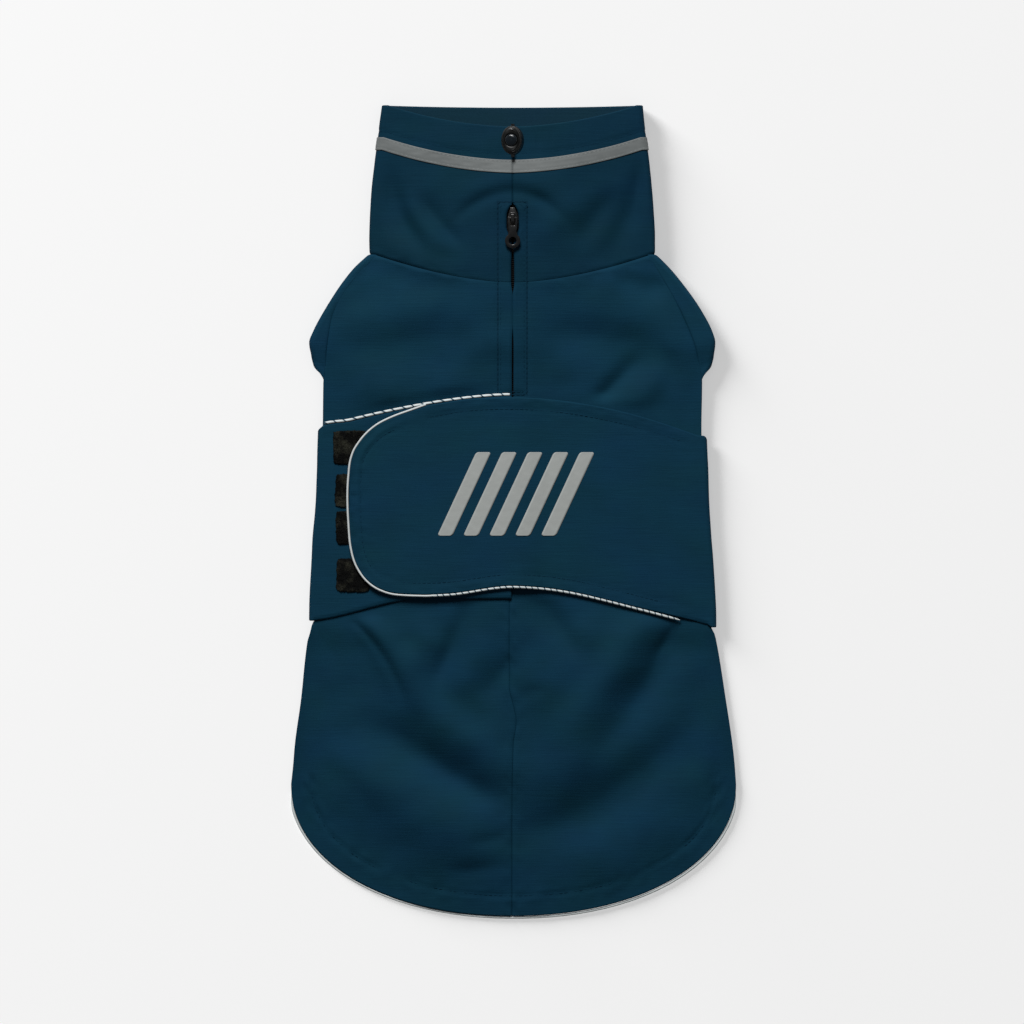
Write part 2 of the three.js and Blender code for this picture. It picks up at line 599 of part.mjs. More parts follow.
// The zip's woven tape, which shows through the slit under the two back panels.
const ZIP_TAPE = { top: 187, low: 60, halfWidth: 10, thick: 0.8 };
const zipTapeHeight = (x, y) => clothHeight(x, y) - HALF - 0.6 - ZIP_TAPE.thick / 2;
function makeZipTape() {
  const point = (f, g) => {
    const x = CENTRE_SEAM_X + mix(-ZIP_TAPE.halfWidth, ZIP_TAPE.halfWidth, f);
    const y = mix(ZIP_TAPE.low, ZIP_TAPE.top, g);
    return new THREE.Vector3(x, y, zipTapeHeight(x, y));
  };
  return lyingPanel(shares(26).map((g) => shares(4).map((f) => point(f, g))), ZIP_TAPE.thick);
}

// Hem piping: it lies just outside and a little under the round hem's edge.
function makeHemPiping() {
  const out = PIPING_RADIUS + 1.5 * SEAM;
  const points = shares(40).map((share) => {
    const angle = mix(-90, 90, share) * (Math.PI / 180);
    const across = Math.sign(angle) * Math.abs(Math.sin(angle)) ** (2 / HEM_POWER);
    const down = Math.max(0, Math.cos(angle)) ** (2 / HEM_POWER);
    const [x, y] = [(HEM_HALF_WIDTH + out) * across, HEM_CORNER_Y - (HEM_DEPTH + out) * down];
    return new THREE.Vector3(x, y, PIPING_RADIUS + 0.05);
  });
  return piping(points, PIPING_RADIUS, 72);
}

// Piping round the right wing: from its top edge round the free end and along its lower edge.
function makeRightWingPiping() {
  const out = PIPING_RADIUS + SEAM;
  const edgePoints = [];
  const tops = [-53, -62, -72, -81.5, -88.4, -93, -96.3, -98.3];
  const lows = [-98.3, -96.3, -93, -88.4, -81.5, -72, -62, -53, -40, -20, 0, 20, 40, 60, 80, 98];
  tops.forEach((x) => edgePoints.push([x, rightWingEdges(x).top]));
  edgePoints.push([-99.2, 19.5], [-99.2, -4]);
  lows.forEach((x) => edgePoints.push([x, rightWingEdges(x).low]));
  const line = edgePoints.map(([x, y], i) => {
    const [a, b] = [edgePoints[Math.max(0, i - 1)], edgePoints[Math.min(edgePoints.length - 1, i + 1)]];
    const length = Math.hypot(b[0] - a[0], b[1] - a[1]);
    const [nx, ny] = [(b[1] - a[1]) / length, -(b[0] - a[0]) / length];
    return new THREE.Vector3(x + nx * out, y + ny * out, rightWingHeight(x, y) + 0.4);
  });
  return piping(line, PIPING_RADIUS, 64);
}

function makeLeftWingPiping() {
  const out = PIPING_RADIUS + SEAM;
  const points = shares(12).map((share) => {
    const x = mix(-112, LEFT_WING_END_X - 1, share);
    const { top } = leftWingEdges(x);
    return new THREE.Vector3(x, top + out, leftWingHeight(x, top) + 0.35);
  });
  return piping(points, PIPING_RADIUS, 20);
}

// Zip slider: a flat body with an arch on top that holds the pull's crossbar.
const SLIDER = {
  y: 175.4, length: 12.6, width: 6.0, height: 3.2, archWidth: 2, archLength: 6.4, archHeight: 3.1,
};
const CROSSBAR = { above: 1.15, half: 0.6 };
const sliderBase = Math.max(...[-0.5, -0.25, 0, 0.25, 0.5].map((share) => (
  zipTapeHeight(CENTRE_SEAM_X, SLIDER.y + share * SLIDER.length)))) + ZIP_TAPE.thick / 2 + SEAM;

function makeSlider() {
  const { length, width, height, archWidth, archLength, archHeight } = SLIDER;
  const outline = new THREE.Shape();
  outline.moveTo(-width * 0.36, -length / 2);
  outline.lineTo(width * 0.36, -length / 2);
  outline.lineTo(width / 2, -length * 0.2);
  outline.lineTo(width / 2, length * 0.05);
  outline.lineTo(width * 0.22, length / 2);
  outline.lineTo(-width * 0.22, length / 2);
  outline.lineTo(-width / 2, length * 0.05);
  outline.lineTo(-width / 2, -length * 0.2);
  outline.closePath();
  const body = new THREE.ExtrudeGeometry(outline, { depth: height, bevelEnabled: false });
  const arch = new THREE.Shape();
  const sunk = 0.5;
  const round = 1.1;
  arch.moveTo(-archLength / 2, -sunk);
  arch.lineTo(archLength / 2, -sunk);
  arch.lineTo(archLength / 2, archHeight - round);
  arch.lineTo(archLength / 2 - round, archHeight);
  arch.lineTo(-archLength / 2 + round, archHeight);
  arch.lineTo(-archLength / 2, archHeight - round);
  arch.closePath();
  const tunnel = new THREE.Path();
  const tunnelHalf = 1.6;
  tunnel.moveTo(-tunnelHalf, 0);
  tunnel.lineTo(-tunnelHalf, 2.3);
  tunnel.lineTo(tunnelHalf, 2.3);
  tunnel.lineTo(tunnelHalf, 0);
  tunnel.closePath();
  arch.holes.push(tunnel);
  const bridge = new THREE.ExtrudeGeometry(arch, { depth: archWidth, bevelEnabled: false });
  bridge.translate(0, 0, -archWidth / 2);
  // The arch's outline is drawn in the plane of length and height, so it is stood up.
  bridge.applyMatrix4(new THREE.Matrix4().makeBasis(
    new THREE.Vector3(0, 1, 0), new THREE.Vector3(0, 0, 1), new THREE.Vector3(1, 0, 0)));
  bridge.translate(0, 0, height);
  return toGeometry(toSolid(body).add(toSolid(bridge)));
}

// The pull: a crossbar and two arms round the arch, a tapered plate and a ring at its free end.
const PULL = {
  ringY: -13.6, ringRadius: 4.6, ringHole: 2.3, neck: 2.2, armOuter: 2.7, armInner: 1.5, slot: 4.6,
};
function makePull() {
  const { ringY, ringRadius, ringHole, neck, armOuter, armInner, slot } = PULL;
  const outline = new THREE.Shape();
  const start = THREE.MathUtils.degToRad(128);
  outline.moveTo(-armOuter, CROSSBAR.half);
  outline.lineTo(-armOuter, -slot - 1);
  outline.lineTo(-neck, ringY + ringRadius + 1.2);
  for (const step of shares(14)) {
    const angle = mix(start, 2 * Math.PI + Math.PI - start, step);
    outline.lineTo(ringRadius * Math.cos(angle), ringY + ringRadius * Math.sin(angle));
  }
  outline.lineTo(neck, ringY + ringRadius + 1.2);
  outline.lineTo(armOuter, -slot - 1);
  outline.lineTo(armOuter, CROSSBAR.half);
  outline.closePath();
  const slotHole = new THREE.Path();
  slotHole.moveTo(-armInner, -CROSSBAR.half);
  slotHole.lineTo(armInner, -CROSSBAR.half);
  slotHole.lineTo(armInner, -slot);
  slotHole.lineTo(-armInner, -slot);
  slotHole.closePath();
  const ring = new THREE.Path();
  for (const step of shares(10).slice(0, -1)) {
    const angle = step * Math.PI * 2;
    const corner = [ringHole * Math.cos(angle), ringY + ringHole * Math.sin(angle)];
    if (step === 0) ring.moveTo(...corner);
    else ring.lineTo(...corner);
  }
  ring.closePath();
  outline.holes.push(slotHole, ring);
  const thick = 2 * CROSSBAR.half;
  return new THREE.ExtrudeGeometry(outline, { depth: thick, bevelEnabled: false }).translate(0, 0, -thick / 2);
}

// Cord lock: an oval barrel with a spring button on top and the drawcord through its side.
const LOCK = { x: -0.9, y: 221.7, halfWidth: 6.5, halfLength: 8.7, height: 9.4, tilt: -8, bevel: 0.8 };
const BUTTON = { radius: 3.6, clearance: 0.3, proud: 1.7, bottom: 5.6, travel: 1.2 };
const CORD = { radius: 1.15, height: 2.2, clearance: 0.45 };
const lockBase = Math.max(...[-1, 0, 1].flatMap((i) => [-1, 0, 1].map((j) =>
  clothHeight(LOCK.x + i * LOCK.halfWidth, Math.min(RIM_CENTRE_Y, LOCK.y + j * LOCK.halfLength))
  + i * LOCK.halfWidth * Math.tan(THREE.MathUtils.degToRad(LOCK.tilt))))) + HALF + SEAM;

function cylinder(radius, from, to, sides) {
  return new THREE.CylinderGeometry(radius, radius, to - from, sides).rotateX(Math.PI / 2)
    .translate(0, 0, (from + to) / 2);
}

function makeLock() {
  const { halfWidth, halfLength, height, bevel } = LOCK;
  const oval = new THREE.Shape();
  const sides = 20;
  for (let i = 0; i < sides; i++) {
    const angle = (i / sides) * Math.PI * 2;
    const corner = [(halfWidth - bevel) * Math.cos(angle), (halfLength - bevel) * Math.sin(angle)];
    if (i === 0) oval.moveTo(...corner);
    else oval.lineTo(...corner);
  }
  oval.closePath();
  const barrel = new THREE.ExtrudeGeometry(oval, {
    depth: height - 2 * bevel, bevelThickness: bevel, bevelSize: bevel, bevelSegments: 1,
  }).translate(0, 0, bevel);
  const bore = cylinder(BUTTON.radius + BUTTON.clearance, BUTTON.bottom - BUTTON.travel - 0.3, height + 2, 18);
  const cordHole = new THREE.CylinderGeometry(
    CORD.radius + CORD.clearance, CORD.radius + CORD.clearance, 2 * halfLength + 4, 10)
    .translate(0, 0, CORD.height);
  return toGeometry(toSolid(barrel).subtract(toSolid(bore)).subtract(toSolid(cordHole)));
}

function makeLockButton() {
  const { radius, bottom, proud } = BUTTON;
  const top = LOCK.height + proud;
  const profile = [[0, bottom], [radius, bottom], [radius, top - 0.7], [radius - 0.7, top], [0, top]];
  return new THREE.LatheGeometry(profile.map(([x, y]) => new THREE.Vector2(x, y)), 18).rotateX(Math.PI / 2);
}

function makeDrawcord() {
  const route = [[-9.9, 2.05], [-9.2, 2.15], [-8, 2.2], [-3, 2.2], [3, 2.2], [9.9, 2.2]];
  return piping(route.map(([y, z]) => new THREE.Vector3(0, y, z)), CORD.radius, 14, 8);
}

const coat = new THREE.Group();
function place(name, geometry, look, parent = coat) {
  const mesh = new THREE.Mesh(geometry, new THREE.MeshStandardMaterial(look));
  mesh.name = name;
  parent.add(mesh);
  return mesh;
}

place('back_left', makeBackPanel('left'), PETROL);
place('back_right', makeBackPanel('right'), PETROL);
place('collar', makeCollar(), PETROL);
place('chest_panel', makeChestPanel(), PETROL);
place('belly_band', makeBellyBand(), PETROL);
place('collar_tape', makeCollarTape(), LIGHT_GREY);
place('hem_piping', makeHemPiping(), LIGHT_GREY);
place('right_wing_piping', makeRightWingPiping(), LIGHT_GREY);
place('left_wing_piping', makeLeftWingPiping(), LIGHT_GREY);
PATCHES.forEach((patch) => place(`loop_patch_${patch.name}`, makePatch(patch), BLACK_CLOTH));
place('zip_tape', makeZipTape(), BLACK_CLOTH);

const zip = new THREE.Group();
zip.position.set(CENTRE_SEAM_X, SLIDER.y, sliderBase);
coat.add(zip);
place('zip_slider', makeSlider(), BLACK_METAL, zip);
const pull = place('zip_pull', makePull(), BLACK_METAL, zip);
pull.position.z = SLIDER.height + CROSSBAR.above;
pull.rotation.x = THREE.MathUtils.degToRad(2);

const lock = new THREE.Group();
lock.position.set(LOCK.x, LOCK.y, lockBase);
lock.rotation.y = THREE.MathUtils.degToRad(LOCK.tilt);
coat.add(lock);
place('cord_lock', makeLock(), BLACK_PLASTIC, lock);
place('cord_lock_button', makeLockButton(), BLACK_PLASTIC, lock);
place('drawcord', makeDrawcord(), BLACK_CLOTH, lock);

// The part's own origin is on the surface, under the middle of everything.
coat.updateMatrixWorld(true);
const middle = new THREE.Box3().setFromObject(coat, true).getCenter(new THREE.Vector3());
coat.position.set(-middle.x, -middle.y, 0);

export default coat;
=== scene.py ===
# %% [markdown]
# A dog raincoat, laid flat with its back up, as a shop shows it. Its panels are thin shells of
# waxed cloth, and almost everything that the eye reads as cloth is in how they lie: a few large
# folds, many small ones, seams that sink in and edges that turn over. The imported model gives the
# frame: every piece here lies where its solid lies, only finer.

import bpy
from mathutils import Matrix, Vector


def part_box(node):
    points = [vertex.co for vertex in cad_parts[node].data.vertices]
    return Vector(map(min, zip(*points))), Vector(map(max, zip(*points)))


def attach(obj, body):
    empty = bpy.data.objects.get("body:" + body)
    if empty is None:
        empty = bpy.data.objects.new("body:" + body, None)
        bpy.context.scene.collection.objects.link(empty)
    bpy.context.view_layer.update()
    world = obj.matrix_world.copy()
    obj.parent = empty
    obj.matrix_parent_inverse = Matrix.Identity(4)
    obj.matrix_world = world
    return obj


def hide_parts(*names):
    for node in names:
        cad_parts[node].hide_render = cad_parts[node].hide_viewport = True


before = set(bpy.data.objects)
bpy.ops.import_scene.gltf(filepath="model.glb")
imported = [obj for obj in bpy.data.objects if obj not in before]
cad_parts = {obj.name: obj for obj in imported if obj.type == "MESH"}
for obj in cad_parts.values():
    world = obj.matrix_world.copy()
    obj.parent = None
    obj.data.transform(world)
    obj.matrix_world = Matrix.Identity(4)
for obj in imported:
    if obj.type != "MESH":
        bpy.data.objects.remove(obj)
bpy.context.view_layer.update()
print("frame loaded")

# %% Libraries and units
from math import atan, cos, pi, radians, sin

import bmesh
import bpy
import numpy as np
from mathutils import Matrix, Vector

MM = 0.001
COLLAR_TOP_Y = 243.4
# The pattern is drawn in millimetres from a point just beside the model's own origin.
ORIGIN_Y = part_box("collar")[1][1] / MM - COLLAR_TOP_Y
print(f"pattern origin lies {ORIGIN_Y:.2f} mm above the model's")

# %% [markdown]
# The camera looks straight down, far enough away for the layers not to shift against each other.

# %% Camera
VIEW_WIDTH = 614.4
CAMERA_HEIGHT = 5000.0
VIEW_CENTRE = (-1.7, -0.3)

camera_data = bpy.data.cameras.new("camera")
camera_data.angle = 2 * atan(VIEW_WIDTH / 2 / CAMERA_HEIGHT)
camera_data.clip_end = 50.0
camera = bpy.data.objects.new("camera", camera_data)
camera.location = (VIEW_CENTRE[0] * MM, (VIEW_CENTRE[1] + ORIGIN_Y) * MM, CAMERA_HEIGHT * MM)
bpy.context.collection.objects.link(camera)
bpy.context.scene.camera = camera
bpy.context.scene.view_settings.view_transform = "Standard"
print(f"camera sees {VIEW_WIDTH:.0f} mm across")

# %% [markdown]
# The coat lies on a sheet of pale paper on a lit table, so the paper glows a little and its shadows
# stay light. Cloth has no outline of its own: its folds only show if light rakes across them, so
# the main lamp stands beyond the collar and fairly low. A second, lower lamp lights the paper alone
# and gives the coat its shadow to the right and below. Which objects a lamp reaches is set by the
# collection that it is linked to.


# %% Lamps
def area_lamp(name, towards, distance, size, watts):
    """A square lamp in the direction given, turned to the middle of the coat."""
    data = bpy.data.lights.new(name, "AREA")
    data.shape = "SQUARE"
    data.size = size
    data.energy = watts
    lamp = bpy.data.objects.new(name, data)
    lamp.location = Vector(towards).normalized() * distance
    lamp.rotation_euler = lamp.location.to_track_quat("Z", "Y").to_euler()
    bpy.context.collection.objects.link(lamp)
    return lamp


KEY_WATTS = 128
FLOOR_WATTS = 1330
FLOOR_GLOW = 0.452
ROOM_LIGHT = 0.13
key_lamp = area_lamp("key_lamp", (-0.15, 1.0, 0.85), 3.0, 1.0, KEY_WATTS)
floor_lamp = area_lamp("floor_lamp", (-1.0, 1.0, 0.36), 9.0, 3.5, FLOOR_WATTS)
world = bpy.data.worlds.new("studio")
bpy.context.scene.world = world
world.use_nodes = True
world.node_tree.nodes["Background"].inputs["Color"].default_value = (1, 1, 1, 1)
world.node_tree.nodes["Background"].inputs["Strength"].default_value = ROOM_LIGHT
print("lit by two lamps and a dim white room")

# %% [markdown]
# The floor itself. It is stage, not part of the coat.

# %% Floor
REACH = 3.0
floor_mesh = bpy.data.meshes.new("floor")
floor_mesh.from_pydata(
    [(-REACH, -REACH, 0), (REACH, -REACH, 0), (REACH, REACH, 0), (-REACH, REACH, 0)], [], [(0, 1, 2, 3)])
floor = bpy.data.objects.new("floor", floor_mesh)
bpy.context.collection.objects.link(floor)

only_floor = bpy.data.collections.new("only_floor")
only_floor.objects.link(floor)
all_but_floor = bpy.data.collections.new("all_but_floor")
all_but_floor.objects.link(floor)
all_but_floor.collection_objects[0].light_linking.link_state = "EXCLUDE"
floor_lamp.light_linking.receiver_collection = only_floor
key_lamp.light_linking.receiver_collection = all_but_floor

# %% [markdown]
# Shader maths reads best as plain expressions. A small class wraps a shader socket, and every
# operator on it adds the Math node that does the sum. Anything else comes from one method that
# takes a node's kind, its settings and its sockets.


# %% Writing shaders as expressions
class Value:
    """A number that a shader works out at each point of a surface."""

    def __init__(self, paint, socket):
        self.paint, self.socket = paint, socket

    def _math(self, operation, first, second=None):
        values = {0: first} if second is None else {0: first, 1: second}
        return self.paint.node("Math", {"operation": operation}, values)

    def __add__(self, other):
        return self._math("ADD", self, other)

    def __sub__(self, other):
        return self._math("SUBTRACT", self, other)

    def __mul__(self, other):
        return self._math("MULTIPLY", self, other)

    def __truediv__(self, other):
        return self._math("DIVIDE", self, other)

    def __pow__(self, other):
        return self._math("POWER", self, other)

    def __rsub__(self, other):
        return self._math("SUBTRACT", other, self)

    def __rtruediv__(self, other):
        return self._math("DIVIDE", other, self)

    __radd__ = __add__
    __rmul__ = __mul__

    def wave(self):
        return self._math("SINE", self * (2 * pi))

    def size(self):
        return self._math("ABSOLUTE", self)


class Paint:
    """A material under construction, with its one Principled shader."""

    def __init__(self, name, **constants):
        self.material = bpy.data.materials.new(name)
        self.material.use_nodes = True
        self.tree = self.material.node_tree
        self.shader = self.tree.nodes["Principled BSDF"]
        for socket, value in constants.items():
            self.shader.inputs[socket.replace("_", " ")].default_value = value

    def node(self, kind, settings=None, values=None, output=0):
        made = self.tree.nodes.new("ShaderNode" + kind)
        for key, value in (settings or {}).items():
            setattr(made, key, value)
        for socket, value in (values or {}).items():
            if isinstance(value, Value):
                self.tree.links.new(value.socket, made.inputs[socket])
            else:
                made.inputs[socket].default_value = value
        return Value(self, made.outputs[output])

    def set(self, socket, value):
        self.tree.links.new(value.socket, self.shader.inputs[socket])

    def across_cloth(self, width, length):
        """Places on the cloth, from its UV map, which is in units of 100 mm."""
        uv = self.node("TexCoord", output="UV")
        scale = (100 / width, 100 / length, 1)
        return self.node("VectorMath", {"operation": "MULTIPLY"}, {0: uv, 1: scale})

    def split(self, vector):
        made = self.tree.nodes.new("ShaderNodeSeparateXYZ")
        self.tree.links.new(vector.socket, made.inputs[0])
        return Value(self, made.outputs[0]), Value(self, made.outputs[1])

    def noise(self, at, scale, detail=2.0, rough=0.5):
        return self.node("TexNoise", {}, {"Vector": at, "Scale": scale, "Detail": detail, "Roughness": rough})

    def mixed(self, factor, one, other):
        """A mix whose factor may leave 0 to 1 and is held inside it."""
        held = self.node("Math", {"operation": "MAXIMUM"}, {0: factor, 1: 0.0})
        return self.blend(self.node("Math", {"operation": "MINIMUM"}, {0: held, 1: 1.0}), one, other)

    def blend(self, factor, one, other):
        """A mix of two colours, by a factor from 0 to 1."""
        made = self.tree.nodes.new("ShaderNodeMix")
        made.data_type = "RGBA"
        for socket, value in ((0, factor), (6, one), (7, other)):
            if isinstance(value, Value):
                self.tree.links.new(value.socket, made.inputs[socket])
            else:
                made.inputs[socket].default_value = (*value, 1) if socket else value
        return Value(self, made.outputs[2])

    def blend_by(self, mask, one, other):
        """A mix by a mask that is itself a colour."""
        made = self.tree.nodes.new("ShaderNodeRGBToBW")
        self.tree.links.new(mask.socket, made.inputs[0])
        return self.blend(Value(self, made.outputs[0]), one, other)

    def bump(self, height, distance, strength=1.0, normal=None):
        values = {"Height": height, "Distance": distance, "Strength": strength}
        if normal is not None:
            values["Normal"] = normal
        return self.node("Bump", {}, values)


# %% [markdown]
# The shell is a tightly woven cloth with a waxed, dull face. At a step away the weave is only a
# fine tooth, but a few thicker weft yarns run across as faint level streaks, and the wax leaves
# slow clouds that are lighter, darker or a little greener. All of it follows the cloth's own UV
# map, which is laid out in real millimetres, so it turns with each panel. The stitches round the
# zip sit in a groove, and a mask on the cloth's place paints shade into its bottom. The inside is
# a plainer, smoother lining in the same colour.


# %% Waxed cloth
BOX_LEFT, BOX_RIGHT = -10.2, 7.2
BOX_TOP, BOX_LOW = 185.1, 70.0
GROOVE_WIDTH = 0.0009
UNDER_TOP_CLOTH = 0.006


def zip_groove_painted_shade(paint):
    """1 where shade is painted in the groove of the stitches round the zip, on the top cloth only."""
    place = paint.node("TexCoord", output="Object")
    x, y = paint.split(place)
    z = paint.node("SeparateXYZ", {}, {0: place}, output=2)
    off_x = (x - (BOX_LEFT + BOX_RIGHT) / 2 * MM).size() - (BOX_RIGHT - BOX_LEFT) / 2 * MM
    off_y = (y - ((BOX_TOP + BOX_LOW) / 2 + ORIGIN_Y) * MM).size() - (BOX_TOP - BOX_LOW) / 2 * MM
    nearest = paint.node("Math", {"operation": "MAXIMUM"}, {0: off_x, 1: off_y})
    groove = 1 - nearest.size() / GROOVE_WIDTH
    on_top = paint.node("Math", {"operation": "GREATER_THAN"}, {0: z, 1: UNDER_TOP_CLOTH})
    return groove * on_top


def waxed_cloth(name, colour, dark, bright, weave_pitch, tooth):
    paint = Paint(name, Roughness=0.7, Specular_IOR_Level=0.03)
    across, up = paint.split(paint.across_cloth(weave_pitch, weave_pitch))
    weave = across.wave() * up.wave()
    streaks = paint.noise(paint.across_cloth(30, 1.1), 1.0, 2.0)
    slubs = paint.noise(paint.across_cloth(8, 0.5), 1.0, 1.0)
    clouds = paint.noise(paint.across_cloth(34, 22), 1.0, 3.0)
    greener = paint.noise(paint.across_cloth(55, 30), 1.0, 2.0)
    tone = (streaks - 0.5) * 0.5 + (clouds - 0.5) * 0.75 + (slubs - 0.5) * 0.25 + 0.5
    low = tuple(c * dark for c in colour)
    high = tuple(c * bright for c in colour)
    plain = paint.blend(tone, low, high)
    low_teal, high_teal = ((c[0], c[1] * 1.07, c[2] * 0.84) for c in (low, high))
    teal = paint.blend(tone, low_teal, high_teal)
    shade = paint.mixed(greener * 2 - 0.5, plain, teal)
    # Painted shade: in the groove of the zip's stitches the colour is pulled towards 35 % of the cloth's.
    paint.set("Base Color", paint.mixed(zip_groove_painted_shade(paint) * 0.5, shade, tuple(0.35 * c for c in colour)))
    paint.set("Roughness", 0.62 + 0.2 * clouds)
    paint.set("Normal", paint.bump(weave * 0.35 + slubs * tooth + streaks * 1.1, 0.0001, 0.8))
    return paint.material


PETROL = (0.0038, 0.0268, 0.0552)
LINING_BLUE = (0.0052, 0.0225, 0.0425)
petrol_cloth = waxed_cloth("petrol_cloth", PETROL, 0.8, 1.22, 0.5, 1.0)
# Painted shade: the collar's cloth is the shell cloth darkened to 79 %.
collar_cloth_painted_shade = waxed_cloth("collar_cloth_painted_shade", tuple(0.79 * c for c in PETROL), 0.8, 1.2, 0.5, 1.0)
lining_cloth = waxed_cloth("lining_cloth", LINING_BLUE, 0.86, 1.15, 0.34, 0.5)
print("petrol cloth and its lining made")

# %% [markdown]
# The paper on the table: almost white, with a very faint tooth, glowing from the table under it.

# %% Paper
paper = Paint("paper", Roughness=0.9, Specular_IOR_Level=0.0, Emission_Color=(1, 1, 1, 1),
              Emission_Strength=FLOOR_GLOW)
place = paper.node("TexCoord", output="Object")
tooth = paper.noise(place, 900.0, 3.0)
paper.set("Base Color", paper.blend(tooth, (0.845, 0.845, 0.845), (0.855, 0.855, 0.855)))
floor_mesh.materials.append(paper.material)
print("paper laid")

# %% [markdown]
# Before any mesh, the pattern: short tables that say where the folded sides lie and how high the
# cloth is. A table's columns are read as smooth curves that never swing past their rows.


# %% Tables and curves
class Table:
    """Rows of numbers under named columns, read as smooth curves over the first column."""

    def __init__(self, columns, rows):
        data = np.array(sorted(rows), float)
        self.names = columns.split()[1:]
        self.at, self.values = data[:, 0], data[:, 1:]

    def __call__(self, name, at):
        x, v = self.at, self.values[:, self.names.index(name)]
        slope = np.diff(v) / np.diff(x)
        inner = np.zeros(len(x) - 2)
        same = slope[:-1] * slope[1:] > 0
        inner[same] = 2 * slope[:-1][same] * slope[1:][same] / (slope[:-1] + slope[1:])[same]
        tangent = np.concatenate([slope[:1], inner, slope[-1:]])
        at = np.clip(at, x[0], x[-1])
        i = np.clip(np.searchsorted(x, at, side="right") - 1, 0, len(x) - 2)
        span = x[i + 1] - x[i]
        t = (at - x[i]) / span
        ends = v[i] * (1 + 2 * t) * (1 - t) ** 2 + v[i + 1] * t * t * (3 - 2 * t)
        return ends + span * t * (1 - t) * (tangent[i] * (1 - t) - tangent[i + 1] * t)


def mix(a, b, t):
    return a + (b - a) * t


def smooth(a, b, t):
    s = np.clip((np.asarray(t, float) - a) / (b - a), 0, 1)
    return s * s * (3 - 2 * s)


print("tables with named columns ready")


# %% How high the top cloth lies
BODY = Table("y half edge crown", [
    (246, 77, 7.6, 7.6),
    (200, 82, 7.6, 9.4),
    (154, 84, 7.2, 9.8),
    (128, 104, 6.9, 9.0),
    (101, 119, 6.6, 8.4),
    (86, 118, 4.6, 8.0),
    (76, 117, 3.9, 7.7),
    (50, 115, 3.2, 7.0),
    (-68, 119, 3.1, 6.6),
    (-86, 123, 1.2, 7.2),
    (-150, 131, 0.95, 6.0),
    (-205, 117, 0.85, 3.2),
    (-246, 60, 0.85, 0.2),
])
CLOTH = 1.5
HALF = CLOTH / 2
SEAM = 0.3
LAYER = 0.6
CENTRE_SEAM_X = -1.3


def body_height(x, y):
    across = np.clip(np.abs(x + 1.2) / BODY("half", y), 0, 1)
    return BODY("edge", y) + BODY("crown", y) * (1 - across**2) ** 1.5


print(f"top cloth at the middle of the shoulders: {float(body_height(0, 110)):.1f} mm")


# %% Where the folded sides lie
COLLAR_SIDES = Table("y left right", [
    (243.4, -79.6, 76.6),
    (229, -81.5, 78.1),
    (211, -83.9, 80.5),
    (187, -86.4, 82.8),
    (163, -87.3, 84.1),
    (154, -87.2, 84.1),
])
SHOULDER_SIDES = Table("y left right", [
    (154, -87.4, 84.4),
    (145, -97.1, 93.4),
    (133, -106.2, 103.2),
    (120, -114.4, 112.1),
    (108, -120.9, 118.4),
    (101, -123.3, 120.3),
    (94, -122.2, 119.5),
    (87, -120.4, 117.7),
    (82, -118.7, 116.2),
    (78, -118.4, 115.9),
])
BAND_SIDES = Table("y left right", [
    (56, -117.9, 114.6),
    (28, -118.7, 115.9),
    (6, -119.4, 116.6),
    (-15, -121.3, 117.9),
    (-36, -122.3, 119.5),
    (-58, -123.4, 120.7),
    (-72, -123.4, 120.9),
])
HEM_CORNER_Y = -163.5
HEM_HALF_WIDTHS = {-1: 134.2, 1: 132.7}
HEM_DEPTH = 79.2
HEM_POWER = 2.1
BACK_SIDES = Table("y left right", [
    (154, -82.6, 79.7),
    (133, -101.4, 92.4),
    (115, -110.0, 101.5),
    (98, -112.6, 108.2),
    (88, -113.6, 110.6),
    (78, -114.8, 112.3),
    (50, -115.2, 111.9),
    (6, -116.7, 113.9),
    (-15, -118.6, 115.2),
    (-40, -119.7, 117.1),
    (-65, -120.1, 117.2),
    (-67.5, -121.5, 117.4),
    (-70.5, -122.3, 118.2),
    (-73, -122.9, 119.6),
    (-78, -124.4, 120.9),
    (-113, -128.3, 126.6),
    (-140, -132.0, 130.6),
    (-152, -133.0, 131.9),
    (HEM_CORNER_Y, -HEM_HALF_WIDTHS[-1], HEM_HALF_WIDTHS[1]),
])
SLIT = Table("y gap", [
    (184.6, -0.03),
    (181, 2.4),
    (177, 3.6),
    (170, 3.7),
    (164, 1.5),
    (159, 0.5),
    (147, 0.9),
    (136, 0.9),
    (129, -0.03),
    (113, -0.03),
    (100, 0.5),
    (74, 0.5),
    (62, -0.03),
])
CENTRE_LINE = Table("y x", [
    (62, CENTRE_SEAM_X),
    (-40, -2.4),
    (-60, -3.3),
    (-105, -3.3),
    (-118, -0.5),
    (-126, 0.9),
    (-140, -0.9),
    (-175, -1.6),
    (-246, -1.7),
])
print("pattern tables: body, collar, shoulders, band, back and zip slit")

# %% [markdown]
# The folds. Each one is a soft bar that runs from one point to another and may bow sideways. It is
# a ridge where its height is positive and a trough where it is negative, and its width may change
# along it. A physics simulation could make such folds, but not these ones, so they are placed one
# by one, each with its own size.

# %% Folds of collar and shoulders
# Each fold: x0, y0, x1, y1, bow, height, width at its start and width at its end.
COLLAR_FOLDS = [
    (-77.5, 201, -54.5, 159, 1.2, -2.5, 7.4, 6.7),
    (-65, 187, -38.5, 155.5, 4, 3, 5.4, 8.4),
    (-55.5, 188, -32, 159.5, 1.7, -1.7, 5.2, 4.6),
    (-33, 178, 29, 177, -13.5, -2.3, 4.8, 4.8),
    (-35, 190.5, 35, 196.5, 1.4, 1.7, 8.6, 9.7),
    (81, 210, 59.5, 158, 0.8, -2.8, 7.5, 8.6),
    (61, 191, 37.5, 159.5, -1.4, -2.0, 7.4, 7.5),
    (-88, 165, -32, 142, 1.5, 2.7, 10.7, 8.8),
    (27.5, 149.5, 75, 161.5, 3.4, -0.7, 10.2, 10.6),
    (36, 189, 14.5, 158.5, 0.2, 1.5, 8.8, 8.7),
]
